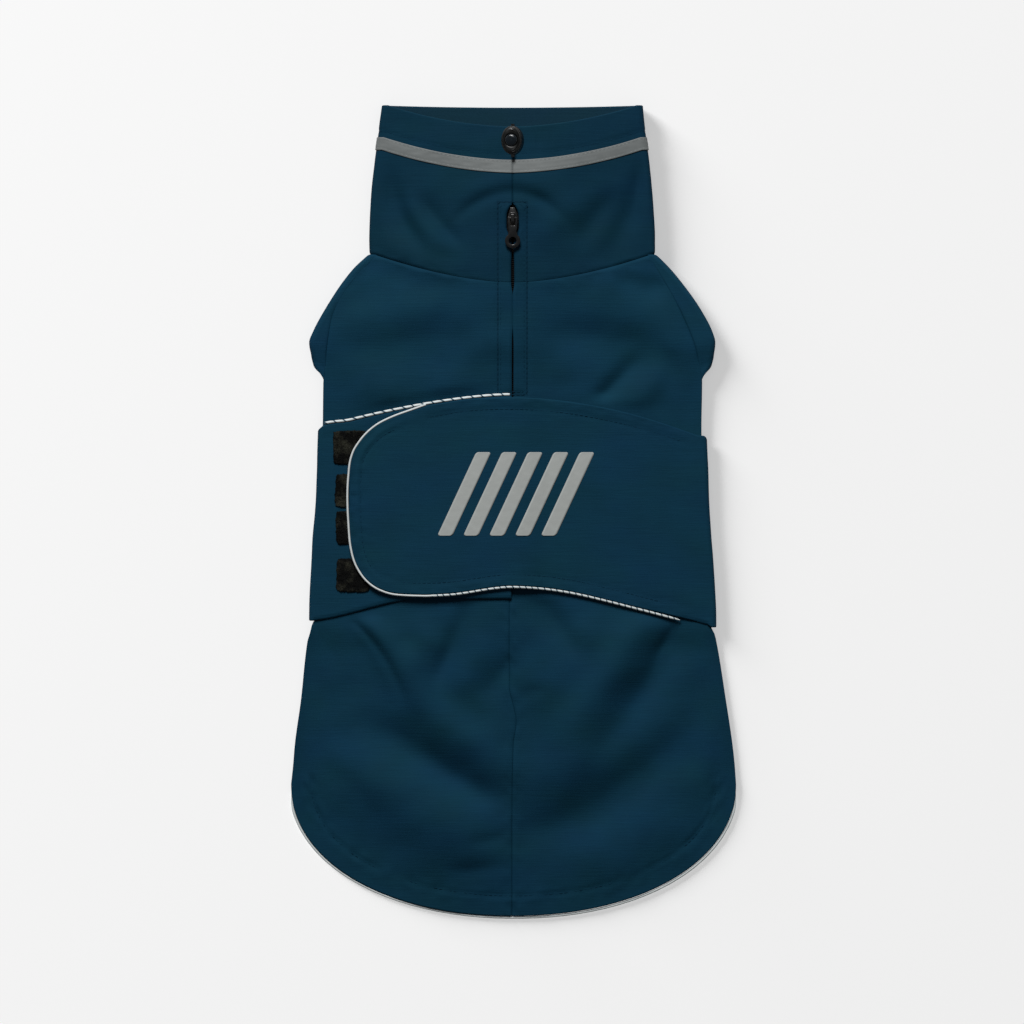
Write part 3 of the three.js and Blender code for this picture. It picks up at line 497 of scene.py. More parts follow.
TORSO_FOLDS = [
    (-108.5, 97.5, -21, 104, 1.6, -1.9, 7.8, 10.4),
    (-96, 116, -41, 124.5, 1.9, 1.4, 9.8, 10.4),
    (18, 126, 51.5, 142, 1.9, -0.9, 9.7, 9.1),
    (46.5, 62, 75, 92, -0.4, -3.4, 5.2, 6.4),
    (62.5, 62, 88.5, 91.5, 5.9, 1.4, 6.2, 8),
    (16, 108, 93.5, 92.5, -1.7, -4.9, 15.5, 12.1),
    (61.5, 141, 90, 132.5, 1.6, -2.4, 6.3, 8.5),
    (-101.5, 77, -22, 78.5, 5.2, 2.9, 14.3, 13.3),
    (-78.5, 131, -23, 119.5, 2.4, 1.1, 11.7, 12.2),
    (92, 125, 109, 79.5, 4.4, 1, 8.2, 8.4),
    (-72, 72.5, -46, 75.5, 1.5, -1.2, 7.9, 8.4),
]
print(f"{len(COLLAR_FOLDS)} folds on the collar and {len(TORSO_FOLDS)} on the shoulders")

# %% Folds of the skirt
SKIRT_FOLDS = [
    (-101.3, -61.5, -67, -111, -4.6, -1.9, 2.5, 3.4),
    (-91, -62, -55, -113, -0.7, 5.0, 7.2, 10.8),
    (-84.5, -127.5, -12, -174, 1.5, -5.1, 10.6, 9.5),
    (-63.5, -109.5, -1, -157.5, 0.3, 3.9, 11.2, 12.9),
    (-110, -147.5, -14.5, -205, 2.2, 6.5, 19.6, 21),
    (98.5, -68, 46, -150, 4.4, -3.4, 7.3, 10.8),
    (101, -64, 84, -88, -0.6, -1.3, 2.8, 5.0),
    (79.5, -64, 23, -148, -0.3, 6.5, 11.3, 15.2),
    (98, -139, 0.5, -198, 8.6, -3.6, 10.9, 13.8),
    (79.5, -118, 9.5, -167, 4.5, 4.0, 13.3, 13.4),
    (112.5, -164, 32.5, -216, 8.3, 2.5, 19, 17.4),
    (-27, -55, -47, -102, 0.1, -2.3, 6.1, 5.2),
    (-1.5, -87, -18.5, -111.5, 0.8, -2.1, 5.7, 7.4),
    (11, -52.5, 37.5, -87, -2.1, -3.0, 8.1, 7.2),
    (-8, -212, -39, -215, 1, -0.9, 4.2, 4.4),
    (-5, -194.5, -27, -199, 0.4, -1.1, 4.5, 4.3),
    (-119, -146, -67.5, -198.5, -2, -1.6, 8.9, 10.4),
    (18, -106, 2, -111, -0.4, -0.9, 4.5, 4.3),
    (-44.5, -74, -64.5, -93, -1, 2.7, 10.2, 10.1),
    (-16.5, -75, -34.5, -109.5, -0.8, 2.3, 10, 9.4),
    (106, -87, 84, -137.5, 3.4, 1.3, 12.3, 11.8),
    (122.5, -112.5, 110, -175.5, 0.3, 1.5, 10, 12),
    (54.5, -67, 12, -113.5, -1.7, 3.7, 15, 16),
]
FOLDS = COLLAR_FOLDS + TORSO_FOLDS + SKIRT_FOLDS


def fold_height(fold, x, y):
    x0, y0, x1, y1, bow, height, start_width, end_width = fold
    dx, dy = x1 - x0, y1 - y0
    length = np.hypot(dx, dy)
    s = ((x - x0) * dx + (y - y0) * dy) / length**2
    sideways = ((x - x0) * -dy + (y - y0) * dx) / length
    off = sideways + bow * 4 * s * (1 - s) * np.sign(dx)
    width = mix(start_width, end_width, smooth(0, 1, s))
    from_middle = np.minimum(4, np.abs(2 * s - 1))
    return height * np.exp(-((off / width) ** 2) - 1.2 * from_middle**4)


def ripple(x, y, seed, waves=14, low=14.0, high=46.0):
    """Slow unevenness about 1 high: a sum of waves in fixed random directions."""
    random = np.random.RandomState(seed)
    total = 0
    for _ in range(waves):
        angle, phase = random.uniform(0, pi), random.uniform(0, 2 * pi)
        length = random.uniform(low, high)
        total = total + np.sin(2 * pi * (x * cos(angle) + y * sin(angle)) / length + phase)
    return total / waves**0.5


print(f"{len(SKIRT_FOLDS)} folds on the skirt")


# %% The band's edges over the back
BAND_TOP_Y = 69.2
BAND_LOW_Y = -45.3


def band_top(x):
    return BAND_TOP_Y - 24 * np.abs((x + 4) / 118) ** 1.9


def band_low(x):
    return BAND_LOW_Y - 24.4 * np.abs((x + 4) / 122) ** 1.45


def cloth_height(x, y, fine=()):
    """The top cloth with its folds, which die away under the band."""
    across = np.clip(np.abs(x + 1.2) / BODY("half", y), 0, 1)
    clear = np.maximum(smooth(0, 9, y - band_top(x)), smooth(0, 9, band_low(x) - y))
    clear = clear * smooth(1, 0.88, across)
    folds = sum(fold_height(fold, x, y) for fold in [*FOLDS, *fine])
    folds = folds + 0.16 * ripple(x, y, 3)
    lowest = mix(2 * HALF + SEAM + HALF + 0.2, HALF + 0.05, smooth(-70, -80, y))
    wanted = body_height(x, y) + clear * folds
    soft = 0.8
    return 0.5 * (wanted + lowest + np.sqrt((wanted - lowest) ** 2 + soft**2)) - soft * 0.12


print(f"{len(FOLDS)} large folds")

# %% [markdown]
# One helper turns a grid of points into a closed cloth wall. Its rows are packed close together
# near the edges, where a seam sinks in or a hem turns over, and it writes a UV map in units of
# 100 mm, measured along the cloth.


# %% Cloth walls
def spread(length, step, fine=0.35, border=3.0):
    """Shares from 0 to 1 with close rows inside a border at both ends."""
    near = np.arange(0, border, fine) / length
    count = max(2, int(round((length - 2 * border) / step)))
    middle = np.linspace(border / length, 1 - border / length, count + 1)
    return np.concatenate([near, middle, 1 - near[::-1]])


def along_cloth(grid, axis):
    steps = np.linalg.norm(np.diff(grid, axis=axis), axis=2)
    start = np.zeros_like(np.take(steps, [0], axis=axis))
    return np.concatenate([start, np.cumsum(steps, axis=axis)], axis=axis)


def facing(grid, up):
    """Unit normals of a grid, turned so that their mean points along up at the first panel."""
    across = np.gradient(grid, axis=1)
    along = np.gradient(grid, axis=0)
    normal = np.cross(across, along)
    normal /= np.linalg.norm(normal, axis=2, keepdims=True) + 1e-12
    return normal * up


def to_metres(points):
    return (np.asarray(points, float).reshape(-1, 3) + (0, ORIGIN_Y, 0)) * MM


def make_object(name, vertices, faces, materials, uv=None, slots=None):
    mesh = bpy.data.meshes.new(name)
    mesh.from_pydata(to_metres(vertices).tolist(), [], faces)
    if uv is not None:
        layer = mesh.uv_layers.new(name="cloth")
        corner = np.array([loop.vertex_index for loop in mesh.loops])
        layer.data.foreach_set("uv", np.asarray(uv, float)[corner].ravel())
    for material in materials:
        mesh.materials.append(material)
    if slots is not None:
        mesh.polygons.foreach_set("material_index", slots)
    mesh.polygons.foreach_set("use_smooth", [True] * len(mesh.polygons))
    mesh.update()
    made = bpy.data.objects.new(name, mesh)
    bpy.context.collection.objects.link(made)
    return made


def grid_faces(rows, columns, first, flipped):
    j, i = np.meshgrid(np.arange(rows - 1), np.arange(columns - 1), indexing="ij")
    a = first + j * columns + i
    quads = np.stack([a, a + 1, a + columns + 1, a + columns], axis=-1).reshape(-1, 4)
    return quads[:, ::-1] if flipped else quads


def wall(name, outer, inner, materials, flipped=False, v_from_y=True):
    """A closed cloth wall between two matching grids."""
    rows, columns = outer.shape[:2]
    total = rows * columns
    index = np.arange(total).reshape(rows, columns)
    rim = np.concatenate([index[0, :], index[1:, -1], index[-1, -2::-1], index[-2:0:-1, 0]])
    after = np.roll(rim, -1)
    sides = np.stack([rim, rim + total, after + total, after], axis=1)
    if flipped:
        sides = sides[:, ::-1]
    faces = np.concatenate([
        grid_faces(rows, columns, 0, flipped), grid_faces(rows, columns, total, not flipped), sides])
    u = along_cloth(outer, 1)
    v = outer[..., 1] if v_from_y else along_cloth(outer, 0)
    uv = np.tile(np.stack([u, v], axis=-1).reshape(-1, 2) / 100, (2, 1))
    slots = np.zeros(len(faces), int)
    cells = (rows - 1) * (columns - 1)
    slots[cells:2 * cells] = len(materials) - 1
    made = make_object(name, np.concatenate([outer.reshape(-1, 3), inner.reshape(-1, 3)]),
                       faces.tolist(), materials, uv, slots.tolist())
    print(f"{name}: {2 * len(faces)} triangles")
    return made


def edge_round(distance, radius=HALF):
    """How much of its thickness the cloth keeps near a turned edge."""
    inward = 1 - np.clip(distance / radius, 0, 1)
    return np.sqrt(1 - 0.96 * inward**2)


def seam_dip(distance, depth=0.6, width=0.9):
    return -depth * np.exp(-((distance / width) ** 1.6))


ON_PAPER = 0.02


def cloth_wall(name, grid, up=1, edges="nnnn", relief=None, half=HALF, flipped=False, sewn=None,
               cloth=None):
    """A wall on a grid. edges tells for first row, last row, first and last column whether the
    cloth ends there in a seam (s), a turned edge (t) or neither (n). sewn gives for an edge how
    deep its seam is at each point, from 0 to 1."""
    sewn = sewn or {}
    cloth = cloth or petrol_cloth
    down_rows, down_columns = along_cloth(grid, 0), along_cloth(grid, 1)
    distances = [down_rows, down_rows[-1:] - down_rows, down_columns, down_columns[:, -1:] - down_columns]
    normal = facing(grid, up)
    out = np.full(grid.shape[:2], half)
    into = np.full(grid.shape[:2], half)
    for number, (kind, distance) in enumerate(zip(edges, distances)):
        if kind == "t":
            free = 1 - sewn[number][1] if number in sewn else 1.0
            out = out * mix(1, edge_round(distance), free)
            into = into * mix(1, edge_round(distance), free)
        if kind == "s" or number in sewn:
            out = out + seam_dip(distance) * (sewn[number][0] if number in sewn else 1.0)
    if relief is not None:
        out = out + relief
    outer = grid + normal * out[..., None]
    inner = grid - normal * into[..., None]
    outer[..., 2] = np.maximum(outer[..., 2], ON_PAPER)
    inner[..., 2] = np.maximum(inner[..., 2], ON_PAPER)
    return wall(name, outer, inner, [cloth, lining_cloth], flipped)


# %% [markdown]
# A line of stitches pulls the cloth down, and what is folded in behind it makes the strip beside it
# a little thicker. One helper gives that relief from the distance to the edge, another the small
# puckers that a tight thread leaves along a seam. The concealed zip has its own box of stitches.


# %% Turned edges and the zip's box
def stitched_strip(distance, width, thicker=0.16, pull=0.3):
    """The relief of an allowance that is stitched down at the given width from the edge."""
    line = np.exp(-(((distance - width) / 0.7) ** 2))
    return thicker * smooth(width + 0.4, width - 0.6, distance) - pull * line


def puckers(x, y, distance, reach, height, seed, low=5.0, high=13.0):
    """Small waves beside a seam that die away within their reach."""
    return height * ripple(x, y, seed, 10, low, high) * np.exp(-((distance / reach) ** 2))


BOX_CORNER = 2.2
BOX_ROW_GAP = 1.7


def box_distance(x, y, inset=0.0):
    """Distance to the zip's stitch box, negative inside it."""
    middle_x, half_x = (BOX_LEFT + BOX_RIGHT) / 2, (BOX_RIGHT - BOX_LEFT) / 2 - inset
    middle_y, half_y = (BOX_TOP + BOX_LOW) / 2, (BOX_TOP - BOX_LOW) / 2 - inset
    dx = np.abs(x - middle_x) - half_x + BOX_CORNER
    dy = np.abs(y - middle_y) - half_y + BOX_CORNER
    outside = np.hypot(np.maximum(dx, 0), np.maximum(dy, 0))
    return outside + np.minimum(np.maximum(dx, dy), 0) - BOX_CORNER


def zip_box_relief(x, y):
    distance = box_distance(x, y)
    lines = np.exp(-((distance / 0.95) ** 2)) + 0.8 * np.exp(-(((distance + BOX_ROW_GAP) / 0.55) ** 2))
    lips = 0.25 * np.exp(-(((np.abs(x - CENTRE_SEAM_X) - slit_gap(y) - 1.6) / 1.3) ** 2)) * smooth(68, 74, y)
    return 0.3 * smooth(0.5, -0.7, distance) - 0.6 * lines + lips * smooth(186, 182, y)


print(f"zip box: {BOX_RIGHT - BOX_LEFT:.1f} by {BOX_TOP - BOX_LOW:.1f} mm")


# %% [markdown]
# The back is two panels, sewn together down the middle. Each is bounded by four curves: the neck
# seam, its outer side, the round hem and the centre. Blending opposite curves, less the blend of
# the corners, fills the panel with an even grid, as draping does.

# %% Neck seam
NECK_CENTRE_Y, NECK_SIDE_Y = 137.1, 154.0
NECK_HALF_WIDTH = 82.3


def distance_to(line, x, y):
    """The distance from every point of a grid to a row of points."""
    found = np.full(x.shape, 1e9)
    for px, py in line:
        found = np.minimum(found, np.hypot(x - px, y - py))
    return found


def neck_back_y(x):
    share = np.clip(np.abs(x - CENTRE_SEAM_X) / NECK_HALF_WIDTH, 0, 1)
    return mix(NECK_CENTRE_Y, NECK_SIDE_Y, share**1.7)


SEWN_SHUT = -0.03


def slit_gap(y):
    """Half the gap between the two sides: the sewn stretches touch, the zip's stretch is open."""
    return np.where((y > 184.6) | (y < 62), SEWN_SHUT, SLIT("gap", y))


def blended_patch(near, far, left, right, rows, columns):
    """Fills four curves with a grid: near and far run across, left and right run along."""
    f, g = columns[None, :, None], rows[:, None, None]
    across = mix(near(columns)[None], far(columns)[None], g)
    along = mix(left(rows)[:, None], right(rows)[:, None], f)
    corner = np.array([0.0, 1.0])
    n, m = near(corner), far(corner)
    return across + along - mix(mix(n[0], n[1], f), mix(m[0], m[1], f), g)


HEM_STITCH = 12.4


def back_panel(side):
    sign = -1 if side == "left" else 1
    neck_x = BACK_SIDES(side, NECK_SIDE_Y)
    neck_y = neck_back_y(neck_x) - 0.1

    def centre_x(y):
        return CENTRE_LINE("x", y) + sign * slit_gap(y)

    def neck(f):
        x = mix(centre_x(NECK_CENTRE_Y), neck_x, f)
        return np.stack([x, neck_back_y(x) - 0.1], axis=-1)

    def hem(f):
        angle = f * pi / 2
        across = np.sin(angle) ** (2 / HEM_POWER)
        down = np.clip(np.cos(angle), 0, 1) ** (2 / HEM_POWER)
        x = mix(centre_x(HEM_CORNER_Y - HEM_DEPTH), sign * HEM_HALF_WIDTHS[sign], across)
        return np.stack([x, HEM_CORNER_Y - HEM_DEPTH * down], axis=-1)

    def centre(g):
        y = mix(neck(0.0)[1], hem(0.0)[1], g)
        return np.stack([centre_x(y), y], axis=-1)

    def outer_side(g):
        y = mix(neck_y, HEM_CORNER_Y, g)
        return np.stack([BACK_SIDES(side, y), y], axis=-1)

    rows = spread(385, 1.9)
    columns = spread(125, 1.9)
    flat = blended_patch(neck, hem, centre, outer_side, rows, columns)
    x, y = flat[..., 0], flat[..., 1]
    grid = np.stack([x, y, cloth_height(x, y)], axis=-1)
    from_neck, from_centre_line = along_cloth(grid, 0), along_cloth(grid, 1)
    from_hem = distance_to(hem(np.linspace(0, 1, 260)), x, y)
    off_centre = np.abs(x - CENTRE_SEAM_X)
    neck_depth = smooth(7, 20, off_centre) * mix(0.45, 1.0, smooth(20, 72, off_centre))
    centre_depth = mix(0.55, 0.8, smooth(66, 55, y)) * np.ones_like(x)
    shoulder_depth = 0.9 * smooth(128, 117, y) * smooth(84, 92, y)
    sewn = {0: (neck_depth, 1.0), 2: (centre_depth, 1.0), 3: (shoulder_depth, smooth(80, 88, y))}
    relief = zip_box_relief(x, y)
    hem_zone = smooth(HEM_CORNER_Y + 8, HEM_CORNER_Y, y)
    relief = relief + hem_zone * stitched_strip(from_hem, HEM_STITCH, 0.26, 0.5)
    inside_hem = np.maximum(from_hem - HEM_STITCH, 0)
    relief = relief + hem_zone * puckers(x, y, inside_hem, 5.0, 0.3, 21) * smooth(4, 9, from_hem)
    relief = relief + puckers(x, y, from_centre_line, 7.0, 0.16, 5) * smooth(-45, -60, y)
    relief = relief + puckers(x, y, from_neck, 7.0, 0.13, 8) * smooth(14, 30, off_centre)
    relief = relief + 0.03 * ripple(x, y, 9, 12, 7, 18)
    return cloth_wall("back_panel_" + side, grid, up=sign * -1, edges="stst", relief=relief,
                      flipped=sign > 0, sewn=sewn)


back_left = back_panel("left")
back_right = back_panel("right")

# %% [markdown]
# The collar is a flattened tube. Five stretches go round it: the top cloth on the right, the right
# fold, the cloth on the table, the left fold and the top cloth on the left, which meets the first
# one at the zip.

# %% A flattened tube
COLLAR_FLOOR = 1.65


def tube_grid(rows, counts, low_edge, high_edge, sides, inner, floor, height):
    """rows are shares up the tube. low_edge and high_edge give y for a stretch and its shares."""
    over, turn, under = counts
    stretches = [
        ("over right", np.linspace(0, 1, over)),
        ("turn right", np.linspace(0, 1, turn)[1:]),
        ("under", np.linspace(0, 1, under)[1:]),
        ("turn left", np.linspace(0, 1, turn)[1:]),
        ("over left", np.linspace(0, 1, over)[1:]),
    ]
    pieces = []
    for part, share in stretches:
        y = mix(low_edge(part, share)[None, :], high_edge(part, share)[None, :], rows[:, None])
        share = share[None, :] + 0 * y
        radius = (BODY("edge", y) - floor) / 2
        left = sides("left", y) + HALF + radius
        right = sides("right", y) - HALF - radius
        angle = pi * share
        if part == "over right":
            x = mix(inner("right", y), right, share)
            z = height(x, y)
        elif part == "over left":
            x = mix(left, inner("left", y), share)
            z = height(x, y)
        elif part == "turn right":
            x, z = right + radius * np.sin(angle), floor + radius * (1 + np.cos(angle))
        elif part == "turn left":
            x, z = left - radius * np.sin(angle), floor + radius * (1 - np.cos(angle))
        else:
            x, z = mix(right, left, share), np.full_like(y, floor)
        pieces.append(np.stack([x, y, z], axis=-1))
    return np.concatenate(pieces, axis=1)


print(f"the collar's lower cloth lies at {COLLAR_FLOOR} mm")


# %% The collar's seam and rim
THROAT_Y, THROAT_RIM_Y = 148.0, 242.2
RIM_CENTRE_Y, RIM_SIDE_Y = 230.3, 243.4


def from_centre(part, share):
    return share if part == "over right" else 1 - share


def neck_seam(part, share):
    if part == "under":
        return mix(THROAT_Y, NECK_SIDE_Y, (2 * share - 1) ** 2)
    if part.startswith("turn"):
        return np.full_like(share, NECK_SIDE_Y)
    side = part.split()[1]
    out = -1 if side == "left" else 1
    fold = COLLAR_SIDES(side, NECK_SIDE_Y) - out * (CLOTH + 2.0)
    return neck_back_y(mix(CENTRE_SEAM_X, fold, from_centre(part, share)))


def collar_rim(part, share):
    if part == "under":
        return mix(THROAT_RIM_Y, RIM_SIDE_Y, (2 * share - 1) ** 2)
    if part.startswith("turn"):
        return np.full_like(share, RIM_SIDE_Y)
    return mix(RIM_CENTRE_Y, RIM_SIDE_Y, from_centre(part, share) ** 1.8)


def collar_inner(side, y):
    return CENTRE_SEAM_X + (-1 if side == "left" else 1) * slit_gap(y)


def collar_grid(rows, counts=(46, 12, 84)):
    return tube_grid(rows, counts, neck_seam, collar_rim, COLLAR_SIDES, collar_inner, COLLAR_FLOOR,
                     cloth_height)


print(f"collar: {RIM_CENTRE_Y - NECK_CENTRE_Y:.0f} mm high at the zip")


# %% [markdown]
# The collar's upper edge is a tunnel for the drawcord, stitched down a little above the reflective
# tape. The cord gathers it, so it has small upright puckers, more of them near the cord lock.

# %% Collar
COLLAR_LENGTH = 91.0
TAPE_LOW = 1 - 27.4 / COLLAR_LENGTH
TAPE_TOP = 1 - 19.6 / COLLAR_LENGTH
TUNNEL = 1 - 16.0 / COLLAR_LENGTH
collar_mesh = collar_grid(spread(95, 1.5), (58, 12, 84))
x, y = collar_mesh[..., 0], collar_mesh[..., 1]
from_seam = along_cloth(collar_mesh, 0)
from_rim = from_seam[-1:] - from_seam
over = (collar_mesh[..., 2] > 5).astype(float)
tunnel_width = (1 - TUNNEL) * from_seam[-1:]
gathers = np.sin(pi * np.clip(from_rim / tunnel_width, 0, 1.25) / 1.25) * (from_rim < 1.25 * tunnel_width)
near_lock = 0.5 + 0.9 * np.exp(-((x / 26) ** 2))
relief = stitched_strip(from_rim, tunnel_width, 0.12, 0.26)
relief = relief + 0.13 * gathers * near_lock * ripple(1.9 * x, 0.25 * y, 31, 10, 6, 15)
relief = relief + over * zip_box_relief(x, y)
off_centre = np.abs(x - CENTRE_SEAM_X)
relief = relief + over * puckers(x, y, from_seam, 6.0, 0.13, 8) * smooth(14, 30, off_centre)
relief = relief + 0.03 * ripple(x, y, 9, 12, 7, 18)
seam_depth = smooth(7, 20, off_centre) * mix(0.45, 1.0, smooth(20, 72, off_centre))
rear_seam = (0.55 * np.ones_like(x), 1.0)
collar = cloth_wall("collar_shell", collar_mesh, up=1, edges="stss", relief=relief,
                    sewn={0: (seam_depth, 1.0), 2: rear_seam, 3: rear_seam}, cloth=collar_cloth_painted_shade)

# %% [markdown]
# The chest panel runs under the throat and folds up round both shoulders. Its lower edge is the
# front of both armholes.

# %% Chest panel
ARMHOLE_BACK_Y, ARMHOLE_FOLD_Y, ARMHOLE_UNDER_Y = 78.5, 82.0, 93.0
CHEST_WAIST = 66.0
BELLY_TOP_Y = 48.6


def armhole(part, share):
    out = 1 - share if part.endswith("left") else share
    if part.startswith("over"):
        return mix(ARMHOLE_BACK_Y, ARMHOLE_FOLD_Y, out)
    if part.startswith("turn"):
        return mix(ARMHOLE_FOLD_Y, ARMHOLE_UNDER_Y, out)
    x = np.abs(2 * share - 1) * 117
    rise = np.clip((x - CHEST_WAIST) / (117 - CHEST_WAIST), 0, 1) ** 1.6
    return mix(BELLY_TOP_Y + SEAM, ARMHOLE_UNDER_Y, rise)


def chest_top(part, share):
    if part.startswith("over"):
        return np.full_like(share, NECK_SIDE_Y - 0.05)
    return neck_seam(part, share) + 0.02


def shoulder_seam(side, y):
    gap = mix(-0.05, -0.3, smooth(96, 88, y))
    return BACK_SIDES(side, y) + (-1 if side == "left" else 1) * gap


chest_grid = tube_grid(spread(70, 1.8), (9, 12, 100), armhole, chest_top, SHOULDER_SIDES, shoulder_seam,
                       HALF, cloth_height)
chest_x, chest_y = chest_grid[..., 0], chest_grid[..., 1]
chest_depth = 0.9 * smooth(128, 117, chest_y) * smooth(84, 92, chest_y)
from_armhole = along_cloth(chest_grid, 0)
chest_relief = stitched_strip(from_armhole, 7.0, 0.14, 0.25) + 0.05 * ripple(chest_x, chest_y, 12, 12, 9, 24)
chest = cloth_wall("chest_shell", chest_grid, up=1, edges="tsss", relief=chest_relief,
                   sewn={2: (chest_depth, 1.0), 3: (chest_depth, 1.0)})

# %% [markdown]
# The belly band is one strip: left wing, left fold, belly, right fold, right wing. The wings lie
# on the back and on each other, so their height is the back's plus what is under them.

# %% Wing heights and outlines
ON_BACK = CLOTH + LAYER
PATCH_THICK = 1.0
LEFT_WING_END_X = -2.0
WING_END = Table("k x top low", [
    (0, -99.2, 19.5, -4.0),
    (1, -98.3, 28.5, -17.0),
    (2, -96.3, 35.5, -27.5),
    (3, -93.0, 41.0, -35.0),
    (4, -88.4, 46.5, -41.0),
    (5, -81.5, 52.0, -46.0),
    (6, -72.0, 56.6, -49.0),
    (7, -62.0, 60.2, -49.7),
    (8, -53.0, 63.4, -49.9),
])
WING_END_X, WING_END_TOP, WING_END_LOW = -53.0, 63.4, -49.9


def left_wing_height(x, y):
    return body_height(x, y) + ON_BACK


def right_wing_height(x, y):
    over_wing = (CLOTH + LAYER) * smooth(LEFT_WING_END_X + 24, LEFT_WING_END_X + 3, x)
    over_patches = (PATCH_THICK + 2 * SEAM - LAYER) * smooth(-68, -84, x)
    # Near the right side, below the piping's end, the wing has settled onto the skirt.
    settled = 0.5 * smooth(92, 108, x) * smooth(-52, -62, y)
    return body_height(x, y) + ON_BACK + over_wing + over_patches - settled


def left_wing_edges(x):
    top = mix(49.2, BAND_TOP_Y, 1 - np.clip(-(x + 4) / 114, 0, 1) ** 1.55) + 1.8 * smooth(-98, -114, x)
    return top, mix(-65.5, -52, smooth(-123, -52, x))


def right_wing_edges(x):
    blend_in = smooth(WING_END_X, WING_END_X + 40, x)
    top = mix(WING_END_TOP + (x - WING_END_X) * 0.17, band_top(x) - 0.8, blend_in)
    low = mix(WING_END_LOW + (x - WING_END_X) * 0.05, band_low(x), blend_in)
    return top, low + 1.7 * np.exp(-(((x - 27) / 34) ** 2))


def band_fold(y, side):
    out = -1 if side == "left" else 1
    radius = (BODY("edge", np.clip(y, -68, 50)) + ON_BACK - HALF) / 2
    return BAND_SIDES(side, y) - out * (HALF + radius), radius


print(f"the wings lie {ON_BACK:.1f} mm above the back")


# %% Belly band
def band_column(part, share, rows):
    """One station of the band: a column of points from its lower to its upper edge."""
    across = {"left wing": 0.0, "left fold": 0.0, "belly": share}.get(part, 1.0)
    hidden = mix(mix(-65.5, -69.5, across), mix(48.6, 45.5, across), rows)
    if part == "left wing":
        top, low = left_wing_edges(mix(LEFT_WING_END_X, -116.0, share))
        y = mix(low, top, rows)
        fold_x, radius = band_fold(y, "left")
        x = mix(LEFT_WING_END_X, fold_x, share)
        return np.stack([x, y, mix(left_wing_height(x, y), HALF + 2 * radius, share**8)], axis=-1)
    if part == "right wing":
        top, low = right_wing_edges(share)
        y = mix(low, top, rows)
        fold_x, radius = band_fold(y, "right")
        x = share + smooth(60, 112, share) * (fold_x - 113.5)
        return np.stack([x, y, right_wing_height(x, y)], axis=-1)
    if part == "wing end":
        y = mix(WING_END("low", share), WING_END("top", share), rows)
        x = WING_END("x", share) + 0 * y
        return np.stack([x, y, right_wing_height(x, y)], axis=-1)
    if part == "belly":
        left_x, _ = band_fold(hidden, "left")
        right_x, _ = band_fold(hidden, "right")
        return np.stack([mix(left_x, right_x, share), hidden, np.full_like(hidden, HALF)], axis=-1)
    side = part.split()[0]
    out = -1 if side == "left" else 1
    # The band's upper corners are rounded where they turn over the sides.
    if side == "left":
        corner = 2.4 * smooth(0.55, 0, share)
    else:
        corner = -2.6 * np.exp(-(((share - 0.4) / 0.25) ** 2))
    hidden = hidden + rows**4 * corner
    fold_x, radius = band_fold(hidden, side)
    angle = pi * (share if side == "left" else 1 - share)
    return np.stack([
        fold_x + out * radius * np.sin(angle), hidden, HALF + radius * (1 + np.cos(angle))], axis=-1)


band_rows = spread(112, 1.9)
stations = [("left wing", s) for s in spread(114, 2.2)]
stations += [("left fold", s) for s in np.linspace(0, 1, 12)[1:]]
stations += [("belly", s) for s in np.linspace(0, 1, 70)[1:]]
stations += [("right fold", s) for s in np.linspace(0, 1, 12)[1:]]
stations += [("right wing", x) for x in np.linspace(111, WING_END_X, 84)]
stations += [("wing end", k) for k in 8 - spread(8, 0.2, fine=0.05, border=0.3)[1:] * 8]
band_grid = np.stack([band_column(part, share, band_rows) for part, share in stations], axis=1)
band_part = np.array([part for part, _ in stations])
on_right = np.isin(band_part, ["right wing", "wing end"])[None, :]
on_left = (band_part == "left wing")[None, :]
x, y = band_grid[..., 0], band_grid[..., 1]
wing_columns = np.where(on_right[0])[0]
wing_edge = np.concatenate([
    band_grid[0, wing_columns, :2], band_grid[:, -1, :2], band_grid[-1, wing_columns[::-1], :2]])
FACING = 7.0
from_wing_edge = distance_to(wing_edge, x, y)
fold_fade = smooth(112, 100, x)
relief = on_right * fold_fade * stitched_strip(from_wing_edge, FACING, 0.2, 0.36)
end_ridge = np.exp(-(((from_wing_edge - 4.6) / 1.5) ** 2)) * smooth(-60, -78, x)
relief = relief + on_right * 0.35 * end_ridge * smooth(-40, 20, y)
crease = np.exp(-(((x + 55) / 1.6) ** 2)) * smooth(-44, -30, y) * smooth(56, 46, y)
relief = relief - on_right * 0.15 * crease
from_left_top = np.abs(band_grid[-1:, :, 1] - y)
relief = relief + on_left * stitched_strip(from_left_top, FACING, 0.12, 0.2)
relief = relief + on_right * (0.07 * ripple(x, y, 14, 14, 22, 60) + 0.03 * ripple(x, y, 9, 12, 7, 18))
relief = relief + on_right * puckers(x, y, np.maximum(from_wing_edge - FACING, 0), 4.0, 0.1, 17)
relief = relief + 0.05 * ripple(x, y, 15, 12, 14, 40) * ~on_right
# Without piping, the lower edge is pressed thin.
from_low = np.abs(y - band_grid[:1, :, 1])
plain_low = on_left + on_right * smooth(94, 101, x)
relief = relief - 0.4 * plain_low * smooth(2.6, 0.2, from_low)
band = cloth_wall("band_shell", band_grid, up=-1, edges="tttt", relief=relief, flipped=True)

# %% [markdown]
# The piping is a thin cord in a reflective strip that is folded over it and caught in the edge. The
# strip is set with fine glass beads, so it is light grey, evenly bright and slightly grainy. Where
# a wing's edge is oversewn the dark thread goes round the cord, and the light strip shows only as
# dashes. One tube helper sweeps a round section along a path, with a UV map of millimetres round
# and along the cord, and one paint serves both kinds.


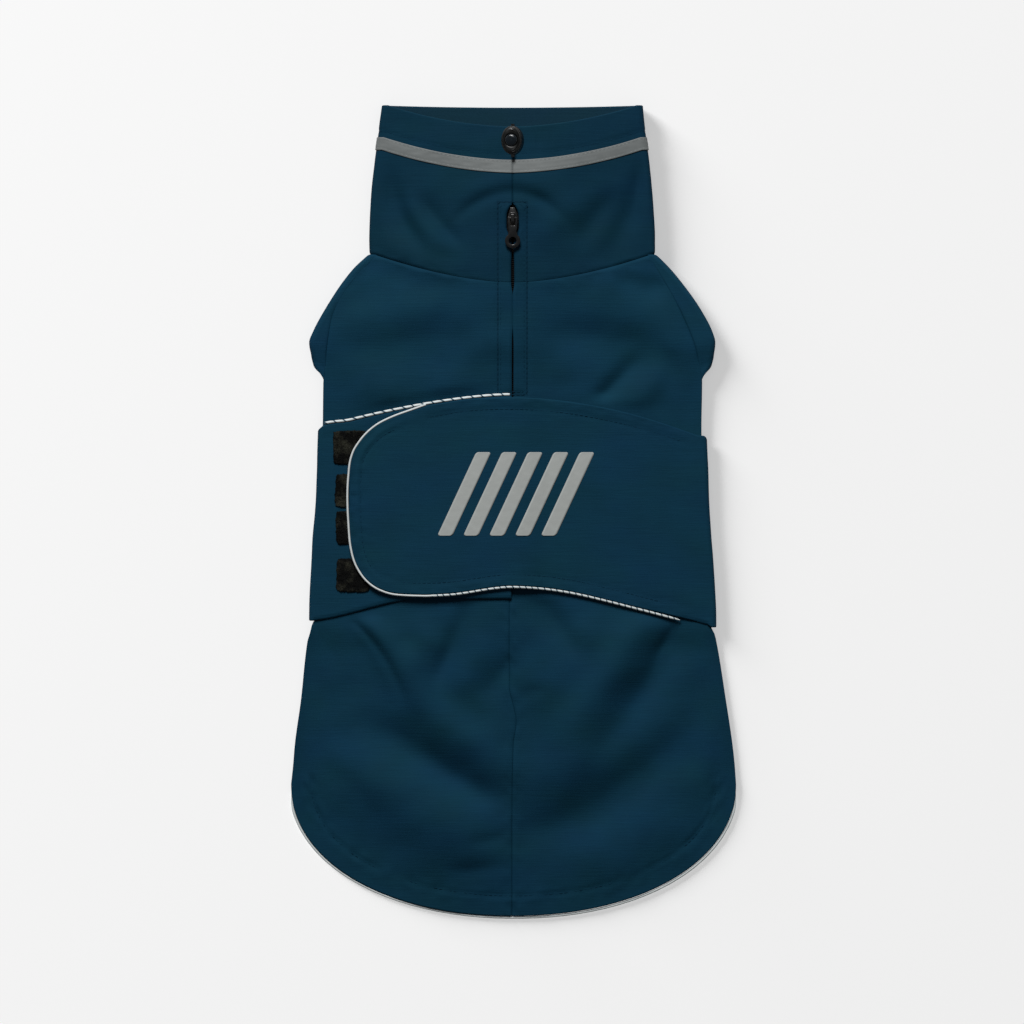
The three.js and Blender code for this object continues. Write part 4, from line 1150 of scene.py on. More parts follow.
# %% Reflective finishes
def beaded(name, colour, wrap_pitch=0.0):
    """A reflective strip set with glass beads, and a dark thread round it at the pitch given."""
    paint = Paint(name, Roughness=0.55, Specular_IOR_Level=0.35)
    grain = paint.noise(paint.across_cloth(0.35, 0.35), 1.0, 2.0)
    smears = paint.noise(paint.across_cloth(7, 4), 1.0, 3.0)
    tone = (grain - 0.5) * 0.5 + (smears - 0.5) * 0.7 + 0.5
    low = tuple(c * 0.82 for c in colour)
    high = tuple(min(1.0, c * 1.16) for c in colour)
    strip = paint.blend(tone, low, high)
    height = grain
    if wrap_pitch:
        across, up = paint.split(paint.across_cloth(7.0, wrap_pitch))
        uneven = paint.noise(paint.across_cloth(20, 9), 1.0, 2.0)
        turn = (up + across + (uneven - 0.5) * 0.5).wave()
        thread = paint.mixed((turn - 0.66) * 4, (0, 0, 0), (1, 1, 1))
        strip = paint.blend_by(thread, strip, (0.012, 0.045, 0.07))
        height = grain + turn * 1.5
    paint.set("Base Color", strip)
    paint.set("Roughness", 0.45 + 0.25 * smears)
    paint.set("Normal", paint.bump(height, 0.00006, 0.7))
    return paint.material


beaded_tape = beaded("beaded_tape", (0.108, 0.118, 0.118))
beaded_print = beaded("beaded_print", (0.285, 0.30, 0.29))
smooth_piping = beaded("smooth_piping", (0.47, 0.50, 0.50))
right_oversewn = beaded("right_oversewn", (0.46, 0.50, 0.50), wrap_pitch=3.8)
left_oversewn = beaded("left_oversewn", (0.50, 0.54, 0.54), wrap_pitch=6.0)
print("reflective finishes made")


# %% A tube along a path
def unit(vectors):
    return vectors / (np.linalg.norm(vectors, axis=-1, keepdims=True) + 1e-12)


def tube(name, path, radius, materials, sides=10, slots=None, waves=None):
    """A round cord along a path. radius may change along it; waves adds to it round and along."""
    path = np.asarray(path, float)
    along = unit(np.gradient(path, axis=0))
    side = unit(np.cross(along, np.array([0.0, 0.0, 1.0])))
    up = np.cross(side, along)
    length = np.concatenate([[0], np.cumsum(np.linalg.norm(np.diff(path, axis=0), axis=1))])
    angle = np.arange(sides) * 2 * pi / sides
    radius = np.broadcast_to(radius, (len(path),))[:, None] * np.ones(sides)
    if waves is not None:
        radius = radius + waves(angle[None, :], length[:, None])
    ring = side[:, None] * np.cos(angle)[None, :, None] + up[:, None] * np.sin(angle)[None, :, None]
    points = path[:, None] + ring * radius[..., None]
    rows = len(path)
    faces = []
    for j in range(rows - 1):
        for i in range(sides):
            n = (i + 1) % sides
            faces.append((j * sides + i, j * sides + n, (j + 1) * sides + n, (j + 1) * sides + i))
    first, last = rows * sides, rows * sides + 1
    for i in range(sides):
        n = (i + 1) % sides
        faces.append((first, n, i))
        faces.append((last, (rows - 1) * sides + i, (rows - 1) * sides + n))
    vertices = np.concatenate([points.reshape(-1, 3), path[:1], path[-1:]])
    round_it = radius * (angle + 0.0)[None, :]
    uv = np.stack([round_it, np.broadcast_to(length[:, None], round_it.shape)], axis=-1).reshape(-1, 2)
    uv = np.concatenate([uv, [[0, 0], [0, length[-1]]]]) / 100
    face_slots = None
    if slots is not None:
        face_slots = [int(slots[min(j // sides, rows - 2)]) for j in range(sides * (rows - 1))]
        face_slots += [int(slots[0]), int(slots[-1])] * sides
    made = make_object(name, vertices, faces, materials, uv, face_slots)
    make_outward(made)
    print(f"{name}: {length[-1]:.0f} mm long, {sum(len(f) - 2 for f in faces)} triangles")
    return made


def make_outward(made):
    """Turns every face outwards, on a closed shell whose doubles are already merged."""
    shell = bmesh.new()
    shell.from_mesh(made.data)
    bmesh.ops.recalc_face_normals(shell, faces=shell.faces)
    shell.to_mesh(made.data)
    shell.free()


def resampled(points, step):
    """Points at even steps along a smooth curve through the ones given."""
    points = np.asarray(points, float)
    length = np.concatenate([[0], np.cumsum(np.linalg.norm(np.diff(points, axis=0), axis=1))])
    at = np.linspace(0, length[-1], int(length[-1] / step) + 2)
    tangent = np.gradient(points, length, axis=0)
    i = np.clip(np.searchsorted(length, at, side="right") - 1, 0, len(points) - 2)
    span = (length[i + 1] - length[i])[:, None]
    t = (at - length[i])[:, None] / span
    ends = points[i] * (1 + 2 * t) * (1 - t) ** 2 + points[i + 1] * t * t * (3 - 2 * t)
    return ends + span * t * (1 - t) * (tangent[i] * (1 - t) - tangent[i + 1] * t)


# %% Hem piping
HEM_PIPING_RADIUS = 0.78
angle = np.radians(np.linspace(-90, 90, 181))
across = np.sign(angle) * np.abs(np.sin(angle)) ** (2 / HEM_POWER)
down = np.clip(np.cos(angle), 0, 1) ** (2 / HEM_POWER)
half_width = np.where(across < 0, HEM_HALF_WIDTHS[-1], HEM_HALF_WIDTHS[1])
hem_path = resampled(np.stack([
    (half_width + 0.85) * across, HEM_CORNER_Y - (HEM_DEPTH + 0.85) * down, 0 * across + 0.82], axis=-1), 1.2)
shown = np.linspace(-1, 1, len(hem_path))
swell = smooth(1.0, 0.9, np.abs(shown))
hem_path[:, :2] *= (1 - 0.012 * (1 - swell))[:, None]
hem_radius = HEM_PIPING_RADIUS * mix(0.35, 1.0, swell) + 0.03 * np.sin(np.arange(len(shown)) * 0.9)
hem_piping = tube("hem_piping_cord", hem_path, hem_radius, [smooth_piping])
print(f"hem piping: {len(hem_path)} sections")

# %% [markdown]
# The wings' piping. On the right wing the strip lies smooth round the free end, and along the lower
# edge it is oversewn. On the left wing it is oversewn all along.


# %% Wing piping
def oversewn(angle, length, pitch):
    """The cord is drawn in where the thread passes round it."""
    return -0.14 * (0.5 + 0.5 * np.sin(2 * pi * (length / pitch + angle / 7.8))) ** 5


def wing_outline():
    tops = WING_END("top", np.linspace(8, 0, 41))
    lows = WING_END("low", np.linspace(0, 8, 41))
    xs = WING_END("x", np.linspace(8, 0, 41))
    end = [(x, y) for x, y in zip(xs, tops)] + [(x, y) for x, y in zip(xs[::-1], lows)]
    rest = [(x, float(right_wing_edges(np.array(x))[1])) for x in np.linspace(-48, 99.4, 50)]
    return np.array(end + rest)


outline = wing_outline()
turned = unit(np.gradient(outline, axis=0))
outline = outline + np.stack([turned[:, 1], -turned[:, 0]], axis=-1) * 0.65
wing_path = np.column_stack([outline, right_wing_height(outline[:, 0], outline[:, 1]) + 0.3])
wing_path = resampled(wing_path, 1.0)
sewn_over = ((wing_path[:, 0] > -50) & (wing_path[:, 1] < -20)).astype(int)
taper = smooth(0, 6, np.arange(len(wing_path))[::-1].astype(float))
wing_radius = mix(0.64, 0.74, sewn_over) * mix(0.5, 1.0, taper)
right_piping = tube("right_wing_cord", wing_path, wing_radius, [smooth_piping, right_oversewn],
                    slots=sewn_over, waves=lambda a, s: oversewn(a, s, 3.8) * sewn_over[:, None])

left_x = np.arange(-114.0, -2.9, 1.0)
left_top = left_wing_edges(left_x)[0]
left_path = np.stack([left_x, left_top + 0.8, left_wing_height(left_x, left_top) + 0.3], axis=-1)
left_piping = tube("left_wing_cord", left_path, 0.84, [left_oversewn],
                   waves=lambda a, s: oversewn(a, s, 6.0))


print(f"wing piping: {len(wing_path)} sections, {sewn_over.sum()} of them oversewn")

# %% [markdown]
# The reflective tape round the collar is a flat ribbon with beads on its face. It is stitched down
# close to both edges, so it is a little crowned between the two lines.

# %% Collar tape
tape_rows = np.concatenate([[0, 0.02, 0.06], np.linspace(0.12, 0.88, 7), [0.94, 0.98, 1]])
tape_grid = collar_grid(mix(TAPE_LOW, TAPE_TOP, tape_rows), (58, 12, 84))
tape_normal = facing(tape_grid, 1)
from_edge = np.minimum(tape_rows, 1 - tape_rows)[:, None] * 7.8
tape_x = tape_grid[..., 0]
crown = 0.4 * edge_round(from_edge, 0.4) - 0.12 * np.exp(-(((from_edge - 1.1) / 0.35) ** 2))
crown = crown + 0.05 * ripple(tape_x, 4 * tape_grid[..., 1], 44, 10, 6, 16)
tape_outer = tape_grid + tape_normal * (0.95 + crown)[..., None]
tape_inner = tape_grid + tape_normal * 0.88
collar_tape = wall("collar_tape_ribbon", tape_outer, tape_inner, [beaded_tape], v_from_y=False)

# %% [markdown]
# The print on the right wing is a plain reflective design of five slanted bars, as on safety
# clothing: a thin film pressed into the cloth, which keeps a little of the weave under it.

# %% Reflective print
BAR_COUNT, BAR_WIDTH, BAR_PITCH = 5, 9.0, 15.5
BAR_HEIGHT, BAR_SLANT, BAR_CORNER = 50.0, 0.466, 1.6
PRINT_X, PRINT_Y = 0.7, 10.5
FILM = 0.12


def print_bar(number):
    middle = PRINT_X + (number - (BAR_COUNT - 1) / 2) * BAR_PITCH
    v = spread(BAR_HEIGHT, 2.0, 0.2, BAR_CORNER) * BAR_HEIGHT
    from_end = np.minimum(v, BAR_HEIGHT - v)
    missing = np.clip(1 - from_end / BAR_CORNER, 0, 1)
    half = BAR_WIDTH / 2 - BAR_CORNER * (1 - np.sqrt(np.clip(1 - missing**2, 0.02, 1)))
    u = np.linspace(-1, 1, 9)
    y = (PRINT_Y + v - BAR_HEIGHT / 2)[:, None] + 0 * u[None, :]
    x = middle + u[None, :] * half[:, None] + (y - PRINT_Y) * BAR_SLANT
    base = right_wing_height(x, y) + HALF + WING_PRINT_LIFT
    outer = np.stack([x, y, base + FILM], axis=-1)
    inner = np.stack([x, y, base], axis=-1)
    return wall(f"print_bar_{number + 1}", outer, inner, [beaded_print], v_from_y=True)


WING_PRINT_LIFT = 0.14
print_bars = [print_bar(number) for number in range(BAR_COUNT)]
for bar in print_bars:
    make_outward(bar)


print(f"{len(print_bars)} plain bars printed")

# %% [markdown]
# Stitches and zip teeth repeat along lines, so Geometry Nodes lay them. The tree takes plain edges
# that carry the cloth's own upward direction, makes a curve of them, cuts it at an even pitch and
# puts a small bead at each cut, turned to the line and to the cloth. The result is made a plain
# mesh, because instances would be lost in the export.


# %% A tree that lays beads along lines
def tree_socket(tree, name, kind, way="INPUT"):
    return tree.interface.new_socket(name=name, in_out=way, socket_type="NodeSocket" + kind)


def bead_line_tree():
    tree = bpy.data.node_groups.new("beads_along_lines", "GeometryNodeTree")
    tree_socket(tree, "Geometry", "Geometry")
    for name in ("Pitch", "Length", "Width", "Height"):
        tree_socket(tree, name, "Float")
    tree_socket(tree, "Finish", "Material")
    tree_socket(tree, "Geometry", "Geometry", "OUTPUT")
    nodes, links = tree.nodes, tree.links
    given, out = nodes.new("NodeGroupInput"), nodes.new("NodeGroupOutput")
    curve = nodes.new("GeometryNodeMeshToCurve")
    cut = nodes.new("GeometryNodeResampleCurve")
    cut.mode = "LENGTH"
    bead = nodes.new("GeometryNodeMeshUVSphere")
    bead.inputs["Segments"].default_value = 8
    bead.inputs["Rings"].default_value = 5
    bead.inputs["Radius"].default_value = 0.5
    size = nodes.new("ShaderNodeCombineXYZ")
    up = nodes.new("GeometryNodeInputNamedAttribute")
    up.data_type = "FLOAT_VECTOR"
    up.inputs["Name"].default_value = "up"
    tangent = nodes.new("GeometryNodeInputTangent")
    face_up = nodes.new("FunctionNodeAlignRotationToVector")
    face_up.axis = "Z"
    face_on = nodes.new("FunctionNodeAlignRotationToVector")
    face_on.axis = "X"
    face_on.pivot_axis = "Z"
    put = nodes.new("GeometryNodeInstanceOnPoints")
    real = nodes.new("GeometryNodeRealizeInstances")
    finish = nodes.new("GeometryNodeSetMaterial")
    for source, target in (
        (given.outputs["Geometry"], curve.inputs["Mesh"]),
        (curve.outputs["Curve"], cut.inputs["Curve"]),
        (given.outputs["Pitch"], cut.inputs["Length"]),
        (given.outputs["Length"], size.inputs[0]),
        (given.outputs["Width"], size.inputs[1]),
        (given.outputs["Height"], size.inputs[2]),
        (up.outputs["Attribute"], face_up.inputs["Vector"]),
        (face_up.outputs["Rotation"], face_on.inputs["Rotation"]),
        (tangent.outputs["Tangent"], face_on.inputs["Vector"]),
        (cut.outputs["Curve"], put.inputs["Points"]),
        (bead.outputs["Mesh"], put.inputs["Instance"]),
        (face_on.outputs["Rotation"], put.inputs["Rotation"]),
        (size.outputs[0], put.inputs["Scale"]),
        (put.outputs["Instances"], real.inputs["Geometry"]),
        (real.outputs["Geometry"], finish.inputs["Geometry"]),
        (given.outputs["Finish"], finish.inputs["Material"]),
        (finish.outputs["Geometry"], out.inputs["Geometry"]),
    ):
        links.new(source, target)
    return tree


BEAD_LINES = bead_line_tree()


def plain_result(name, source, tree, inputs):
    """Runs a tree on an object and keeps the result as a plain mesh object."""
    modifier = source.modifiers.new("nodes", "NODES")
    modifier.node_group = tree
    for item in tree.interface.items_tree:
        if item.in_out == "INPUT" and item.name in inputs:
            modifier[item.identifier] = inputs[item.name]
    bpy.context.view_layer.update()
    graph = bpy.context.evaluated_depsgraph_get()
    mesh = bpy.data.meshes.new_from_object(source.evaluated_get(graph))
    source.modifiers.remove(modifier)
    bpy.data.objects.remove(source)
    made = bpy.data.objects.new(name, mesh)
    bpy.context.collection.objects.link(made)
    mesh.polygons.foreach_set("use_smooth", [True] * len(mesh.polygons))
    print(f"{name}: {sum(len(p.vertices) - 2 for p in mesh.polygons)} triangles")
    return made


def beads(name, lines, pitch, length, width, height, finish):
    """Lays beads along lines, each a pair of points and upward directions."""
    vertices, ups, edges = [], [], []
    for points, normals in lines:
        start = len(vertices)
        vertices += list(to_metres(points))
        ups += list(normals)
        edges += [(start + i, start + i + 1) for i in range(len(points) - 1)]
    mesh = bpy.data.meshes.new(name + "_lines")
    mesh.from_pydata([tuple(v) for v in vertices], edges, [])
    layer = mesh.attributes.new("up", "FLOAT_VECTOR", "POINT")
    layer.data.foreach_set("vector", np.asarray(ups, float).ravel())
    source = bpy.data.objects.new(name + "_lines", mesh)
    bpy.context.collection.objects.link(source)
    return plain_result(name, source, BEAD_LINES, {
        "Pitch": pitch * MM, "Length": length * MM, "Width": width * MM, "Height": height * MM,
        "Finish": finish})


# %% [markdown]
# Every stitch line is drawn on the pattern and dropped onto the cloth under it. The thread is
# polyester in the cloth's colour, and black or grey where it holds a patch or the tape.


# %% Threads
def spun_thread(name, colour, rough):
    paint = Paint(name, Roughness=rough, Specular_IOR_Level=0.04)
    place = paint.node("TexCoord", output="Object")
    grain = paint.noise(place, 2600.0, 2.0)
    slow = paint.noise(place, 60.0, 2.0)
    tone = (grain - 0.5) * 0.8 + (slow - 0.5) * 0.5 + 0.5
    dark, light = (tuple(c * share for c in colour) for share in (0.75, 1.3))
    paint.set("Base Color", paint.blend(tone, dark, light))
    paint.set("Roughness", rough + 0.2 * (grain - 0.5))
    paint.set("Normal", paint.bump(grain, 0.00005, 0.6))
    return paint.material


petrol_thread = spun_thread("petrol_thread", (0.0034, 0.024, 0.048), 0.75)
grey_thread = spun_thread("grey_thread", (0.20, 0.21, 0.21), 0.6)
black_thread = spun_thread("black_thread", (0.004, 0.004, 0.005), 0.6)


def dropped(outline, height, lift):
    """Points of an outline on a cloth of the given height, with the cloth's upward direction."""
    x, y = np.asarray(outline, float).T
    step = 0.4
    slope_x = (height(x + step, y) - height(x - step, y)) / (2 * step)
    slope_y = (height(x, y + step) - height(x, y - step)) / (2 * step)
    normals = unit(np.stack([-slope_x, -slope_y, np.ones_like(x)], axis=-1))
    points = np.stack([x, y, height(x, y)], axis=-1) + normals * lift
    return points, normals


def inward(outline, distance):
    """The outline moved sideways, to the left of its own direction."""
    outline = np.asarray(outline, float)
    turned = unit(np.gradient(outline, axis=0))
    return outline + np.stack([-turned[:, 1], turned[:, 0]], axis=-1) * distance


def round_box(left, right, low, top, corner, steps=6):
    points = []
    for cx, cy, start in ((right - corner, top - corner, 0), (left + corner, top - corner, 90),
                          (left + corner, low + corner, 180), (right - corner, low + corner, 270)):
        for i in range(steps + 1):
            a = radians(start + 90 * i / steps)
            points.append((cx + corner * cos(a), cy + corner * sin(a)))
    return np.array(points + points[:1])


def evenly(outline, step=1.0):
    flat = np.column_stack([outline, np.zeros(len(outline))])
    length = np.concatenate([[0], np.cumsum(np.linalg.norm(np.diff(flat, axis=0), axis=1))])
    at = np.arange(0, length[-1], step)
    return np.column_stack([np.interp(at, length, flat[:, i]) for i in (0, 1)])


# %% Stitch lines
hem_edge = np.stack([half_width * across, HEM_CORNER_Y - HEM_DEPTH * down], axis=-1)[4:-4]
hem_line = evenly(inward(hem_edge, HEM_STITCH))
top_edge = [(x, float(right_wing_edges(np.array(x))[0])) for x in np.arange(100, -53, -3.0)]
ends = [(float(WING_END("x", k)), float(WING_END("top", k))) for k in np.linspace(8, 0, 33)]
ends += [(float(WING_END("x", k)), float(WING_END("low", k))) for k in np.linspace(0, 8, 33)]
low_edge = [(x, float(right_wing_edges(np.array(x))[1])) for x in np.arange(-50, 92, 3.0)]
facing_line = evenly(inward(evenly(np.array(top_edge + ends + low_edge), 2.5), FACING))
outer_box = evenly(round_box(BOX_LEFT, BOX_RIGHT, BOX_LOW, BOX_TOP, BOX_CORNER))
inner_box = evenly(round_box(BOX_LEFT + BOX_ROW_GAP, BOX_RIGHT - BOX_ROW_GAP, BOX_LOW + BOX_ROW_GAP,
                             BOX_TOP - BOX_ROW_GAP, BOX_CORNER - 0.7))


def collar_line(share, lift):
    rows = np.array([share - 0.01, share, share + 0.01])
    grid = collar_grid(rows, (58, 12, 84))
    normal = facing(grid, 1)
    return grid[1] + normal[1] * lift, normal[1]


petrol_stitches = beads("petrol_stitches", [
    dropped(hem_line, cloth_height, HALF - 0.28),
    dropped(facing_line, right_wing_height, HALF - 0.12),
    dropped(outer_box, cloth_height, HALF - 0.02),
    dropped(inner_box, cloth_height, HALF + 0.02),
    collar_line(TUNNEL, HALF - 0.12),
], 3.0, 2.3, 0.34, 0.3, petrol_thread)
tape_stitches = beads("tape_stitches", [
    collar_line(mix(TAPE_LOW, TAPE_TOP, 0.14), 1.24),
    collar_line(mix(TAPE_LOW, TAPE_TOP, 0.86), 1.24),
], 2.6, 1.9, 0.3, 0.2, grey_thread)

# %% [markdown]
# The four patches are the loop side of the band's fastening: a black tape with a dense pile of tiny
# loops, matted brown where it has been used. The tape is a thin square with rounded corners, and a
# second tree strews bent loops over it at random places and turns.


# %% Loop cloth
def matted_pile():
    paint = Paint("matted_pile", Roughness=0.95, Specular_IOR_Level=0.1)
    place = paint.node("TexCoord", output="Object")
    matted = paint.noise(place, 105.0, 4.0, 0.65)
    fuzz = paint.noise(place, 2200.0, 2.0)
    tone = (matted - 0.47) * 3.6 + (fuzz - 0.5) * 0.6
    paint.set("Base Color", paint.mixed(tone, (0.0014, 0.0016, 0.0016), (0.0270, 0.0275, 0.0195)))
    paint.set("Roughness", 0.85 + 0.15 * fuzz)
    paint.set("Normal", paint.bump(fuzz + matted, 0.0003, 0.9))
    return paint.material


pile = matted_pile()
PATCHES = (("upper", -98.8, 38.4, 1), ("upper_middle", -97.6, 12.4, -2),
           ("lower_middle", -97.2, -9.6, 1), ("lower", -96.9, -38.2, -1))
PATCH_SIZE = 20.0


def patch_body(name, x, y, turn):
    """The patch's woven ground, with soft corners and a slightly ragged edge."""
    share = spread(PATCH_SIZE, 1.0, 0.25, 0.8) * 2 - 1
    u, v = np.meshgrid(share, share, indexing="xy")
    pull = 1 - 0.07 * (u * v) ** 4
    ragged = 1 + 0.022 * ripple(30 * u + x, 30 * v + y, 61, 8, 2.5, 6)
    a = radians(turn)
    px, py = u * PATCH_SIZE / 2 * pull * ragged, v * PATCH_SIZE / 2 * pull * ragged
    gx, gy = x + px * cos(a) - py * sin(a), y + px * sin(a) + py * cos(a)
    from_edge = np.minimum(1 - np.abs(u), 1 - np.abs(v)) * PATCH_SIZE / 2
    base = left_wing_height(gx, gy) + HALF
    tall = 0.55 * edge_round(from_edge, 0.7) + 0.12 * ripple(gx, gy, 62, 10, 1.6, 5)
    outer = np.stack([gx, gy, base + 0.18 + np.maximum(tall, 0.1)], axis=-1)
    inner = np.stack([gx, gy, base + 0.1], axis=-1)
    made = wall("loop_ground_" + name, outer, inner, [pile])
    make_outward(made)
    return made


def pile_tree():
    tree = bpy.data.node_groups.new("loops_on_patch", "GeometryNodeTree")
    tree_socket(tree, "Geometry", "Geometry")
    tree_socket(tree, "Loops per square metre", "Float")
    tree_socket(tree, "Loop size", "Float")
    tree_socket(tree, "Finish", "Material")
    tree_socket(tree, "Geometry", "Geometry", "OUTPUT")
    nodes, links = tree.nodes, tree.links
    given, out = nodes.new("NodeGroupInput"), nodes.new("NodeGroupOutput")
    strew = nodes.new("GeometryNodeDistributePointsOnFaces")
    strew.inputs["Seed"].default_value = 7
    hoop = nodes.new("GeometryNodeCurvePrimitiveCircle")
    hoop.inputs["Resolution"].default_value = 7
    thread = nodes.new("GeometryNodeCurvePrimitiveCircle")
    thread.inputs["Resolution"].default_value = 3
    thread.inputs["Radius"].default_value = 0.00008
    thick = nodes.new("GeometryNodeCurveToMesh")
    turn = nodes.new("FunctionNodeRandomValue")
    turn.data_type = "FLOAT_VECTOR"
    turn.inputs[0].default_value = (0.7, -0.6, 0.0)
    turn.inputs[1].default_value = (2.2, 0.6, 6.28)
    turn.inputs["Seed"].default_value = 11
    put = nodes.new("GeometryNodeInstanceOnPoints")
    real = nodes.new("GeometryNodeRealizeInstances")
    finish = nodes.new("GeometryNodeSetMaterial")
    for source, target in (
        (given.outputs["Geometry"], strew.inputs["Mesh"]),
        (given.outputs["Loops per square metre"], strew.inputs["Density"]),
        (given.outputs["Loop size"], hoop.inputs["Radius"]),
        (hoop.outputs["Curve"], thick.inputs["Curve"]),
        (thread.outputs["Curve"], thick.inputs["Profile Curve"]),
        (strew.outputs["Points"], put.inputs["Points"]),
        (thick.outputs["Mesh"], put.inputs["Instance"]),
        (turn.outputs[0], put.inputs["Rotation"]),
        (put.outputs["Instances"], real.inputs["Geometry"]),
        (real.outputs["Geometry"], finish.inputs["Geometry"]),
        (given.outputs["Finish"], finish.inputs["Material"]),
        (finish.outputs["Geometry"], out.inputs["Geometry"]),
    ):
        links.new(source, target)
    return tree


PILE = pile_tree()
loop_patches = []
for name, x, y, turn in PATCHES:
    ground = patch_body(name, x, y, turn)
    field = ground.copy()
    field.data = ground.data.copy()
    bpy.context.collection.objects.link(field)
    loops = plain_result("loop_pile_" + name, field, PILE, {
        "Loops per square metre": 1.4e6, "Loop size": 0.00032, "Finish": pile})
    loop_patches.append((name, ground, loops))


print(f"{len(loop_patches)} loop patches, {PATCH_SIZE:.0f} mm square")

# %% [markdown]
# The concealed zip: a woven black tape under the slit, with two rows of nylon coil down its middle.
# The coil's turns are laid with the same bead tree as the stitches, only wider than they are long.

# %% Zip tape and coil
ZIP_TOP, ZIP_LOW, ZIP_HALF_WIDTH = 187.0, 60.0, 10.0


def woven_black(name, colour, rough, pitch):
    paint = Paint(name, Roughness=rough, Specular_IOR_Level=0.2)
    across, up = paint.split(paint.across_cloth(pitch, pitch))
    twill = (across + up).wave() + 0.5 * (across * 3 - up).wave()
    dust = paint.noise(paint.across_cloth(9, 9), 1.0, 3.0)
    tone = 0.25 * twill + (dust - 0.5) * 1.2 + 0.4
    paint.set("Base Color", paint.mixed(tone, tuple(c * 0.7 for c in colour), tuple(c * 1.6 for c in colour)))
    paint.set("Roughness", rough + 0.15 * (dust - 0.5))
    paint.set("Normal", paint.bump(twill, 0.0001, 0.8))
    return paint.material


black_tape = woven_black("black_tape", (0.0045, 0.0045, 0.005), 0.85, 0.9)
black_braid = woven_black("black_braid", (0.006, 0.006, 0.006), 0.8, 0.7)


def zip_tape_height(x, y):
    return cloth_height(x, y) - HALF - 0.6 - 0.4


zip_share, zip_rows = np.meshgrid(np.linspace(-1, 1, 25), spread(127, 1.2, 0.3, 1.0), indexing="xy")
zip_x = CENTRE_SEAM_X + zip_share * ZIP_HALF_WIDTH
zip_y = mix(ZIP_LOW, ZIP_TOP, zip_rows)
zip_z = zip_tape_height(zip_x, zip_y)
cord_bulge = 0.12 * np.exp(-(((np.abs(zip_share) * ZIP_HALF_WIDTH - 3.6) / 0.8) ** 2))
zip_tape = wall("zip_tape_web", np.stack([zip_x, zip_y, zip_z + 0.2 + cord_bulge], axis=-1),
                np.stack([zip_x, zip_y, zip_z - 0.3], axis=-1), [black_tape])
make_outward(zip_tape)
coil_y = np.arange(ZIP_LOW + 2, ZIP_TOP - 3, 1.0)
coil_lines = []
for side_x in (-0.95, 0.95):
    line = np.stack([np.full_like(coil_y, CENTRE_SEAM_X + side_x), coil_y], axis=-1)
    coil_lines.append(dropped(line, zip_tape_height, 0.5))
zip_coil = beads("zip_coil", coil_lines, 1.25, 0.85, 2.1, 0.7, black_thread)

# %% [markdown]
# Slider and pull are zinc castings in black enamel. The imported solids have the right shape, so each
# is copied, its loose triangles are merged, and a narrow bevel rounds its sharp edges. The enamel is
# glossy, with a faint orange peel, and it has worn a little on the raised edges.


# %% Black enamel
def enamel():
    paint = Paint("black_enamel", Roughness=0.3, Specular_IOR_Level=0.35, Coat_Weight=0.12)
    place = paint.node("TexCoord", output="Object")
    peel = paint.noise(place, 1400.0, 2.0)
    dull = paint.noise(place, 260.0, 4.0, 0.6)
    edge = paint.node("NewGeometry", output="Pointiness")
    worn = (edge - 0.54) * 7 + (dull - 0.5) * 1.0
    paint.set("Base Color", paint.mixed(worn, (0.0025, 0.003, 0.0035), (0.022, 0.020, 0.016)))
    paint.set("Roughness", 0.22 + 0.3 * dull)
    paint.set("Normal", paint.bump(peel, 0.00004, 0.6))
    return paint.material


black_enamel = enamel()


def softened(node, name, width, finish):
    """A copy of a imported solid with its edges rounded."""
    made = bpy.data.objects.new(name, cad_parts[node].data.copy())
    bpy.context.collection.objects.link(made)
    shell = bmesh.new()
    shell.from_mesh(made.data)
    bmesh.ops.remove_doubles(shell, verts=shell.verts, dist=2e-6)
    bmesh.ops.dissolve_limit(shell, angle_limit=radians(2), verts=shell.verts, edges=shell.edges)
    shell.to_mesh(made.data)
    shell.free()
    bevel = made.modifiers.new("round", "BEVEL")
    bevel.width = width * MM
    bevel.segments = 3
    bevel.limit_method = "ANGLE"
    bevel.angle_limit = radians(24)
    bpy.context.view_layer.update()
    mesh = bpy.data.meshes.new_from_object(made.evaluated_get(bpy.context.evaluated_depsgraph_get()))
    made.modifiers.remove(bevel)
    made.data = mesh
    mesh.materials.clear()
    mesh.materials.append(finish)
    mesh.polygons.foreach_set("use_smooth", [True] * len(mesh.polygons))
    print(f"{name}: {sum(len(p.vertices) - 2 for p in mesh.polygons)} triangles")
    return made


slider = softened("zip_slider", "slider_body", 0.35, black_enamel)
pull = softened("zip_pull", "pull_plate", 0.28, black_enamel)

# %% [markdown]
# The cord lock is a moulded oval barrel with a spring button. It is built as rings: an oval outline
# that is drawn in step by step over a rounded shoulder, then round down the bore. Grip ribs follow
# the outline on one side, as shallow waves in the shoulder. The button has a low dome.

# %% Moulded plastic
LOCK_X, LOCK_Y, LOCK_Z = -0.9, 221.7, 18.4633
LOCK_TILT = radians(-8)
LOCK_HALF_WIDTH, LOCK_HALF_LENGTH, LOCK_HEIGHT = 6.5, 8.7, 9.4
BUTTON_RADIUS, BUTTON_CLEARANCE, BUTTON_BOTTOM, BUTTON_PROUD = 3.6, 0.3, 5.6, 1.7


def moulded(name, colour, rough):
    paint = Paint(name, Roughness=rough, Specular_IOR_Level=0.3)
    place = paint.node("TexCoord", output="Object")
    grain = paint.noise(place, 1900.0, 2.0)
    scuffs = paint.noise(place, 320.0, 4.0, 0.65)
    paint.set("Base Color", paint.mixed((scuffs - 0.4) * 1.8, colour, tuple(c * 2.4 for c in colour)))
    paint.set("Roughness", rough + 0.3 * (scuffs - 0.5))
    paint.set("Normal", paint.bump(grain + scuffs, 0.00004, 0.7))
    return paint.material


lock_plastic = moulded("lock_plastic", (0.0022, 0.0025, 0.0025), 0.36)
button_plastic = moulded("button_plastic", (0.003, 0.005, 0.007), 0.22)


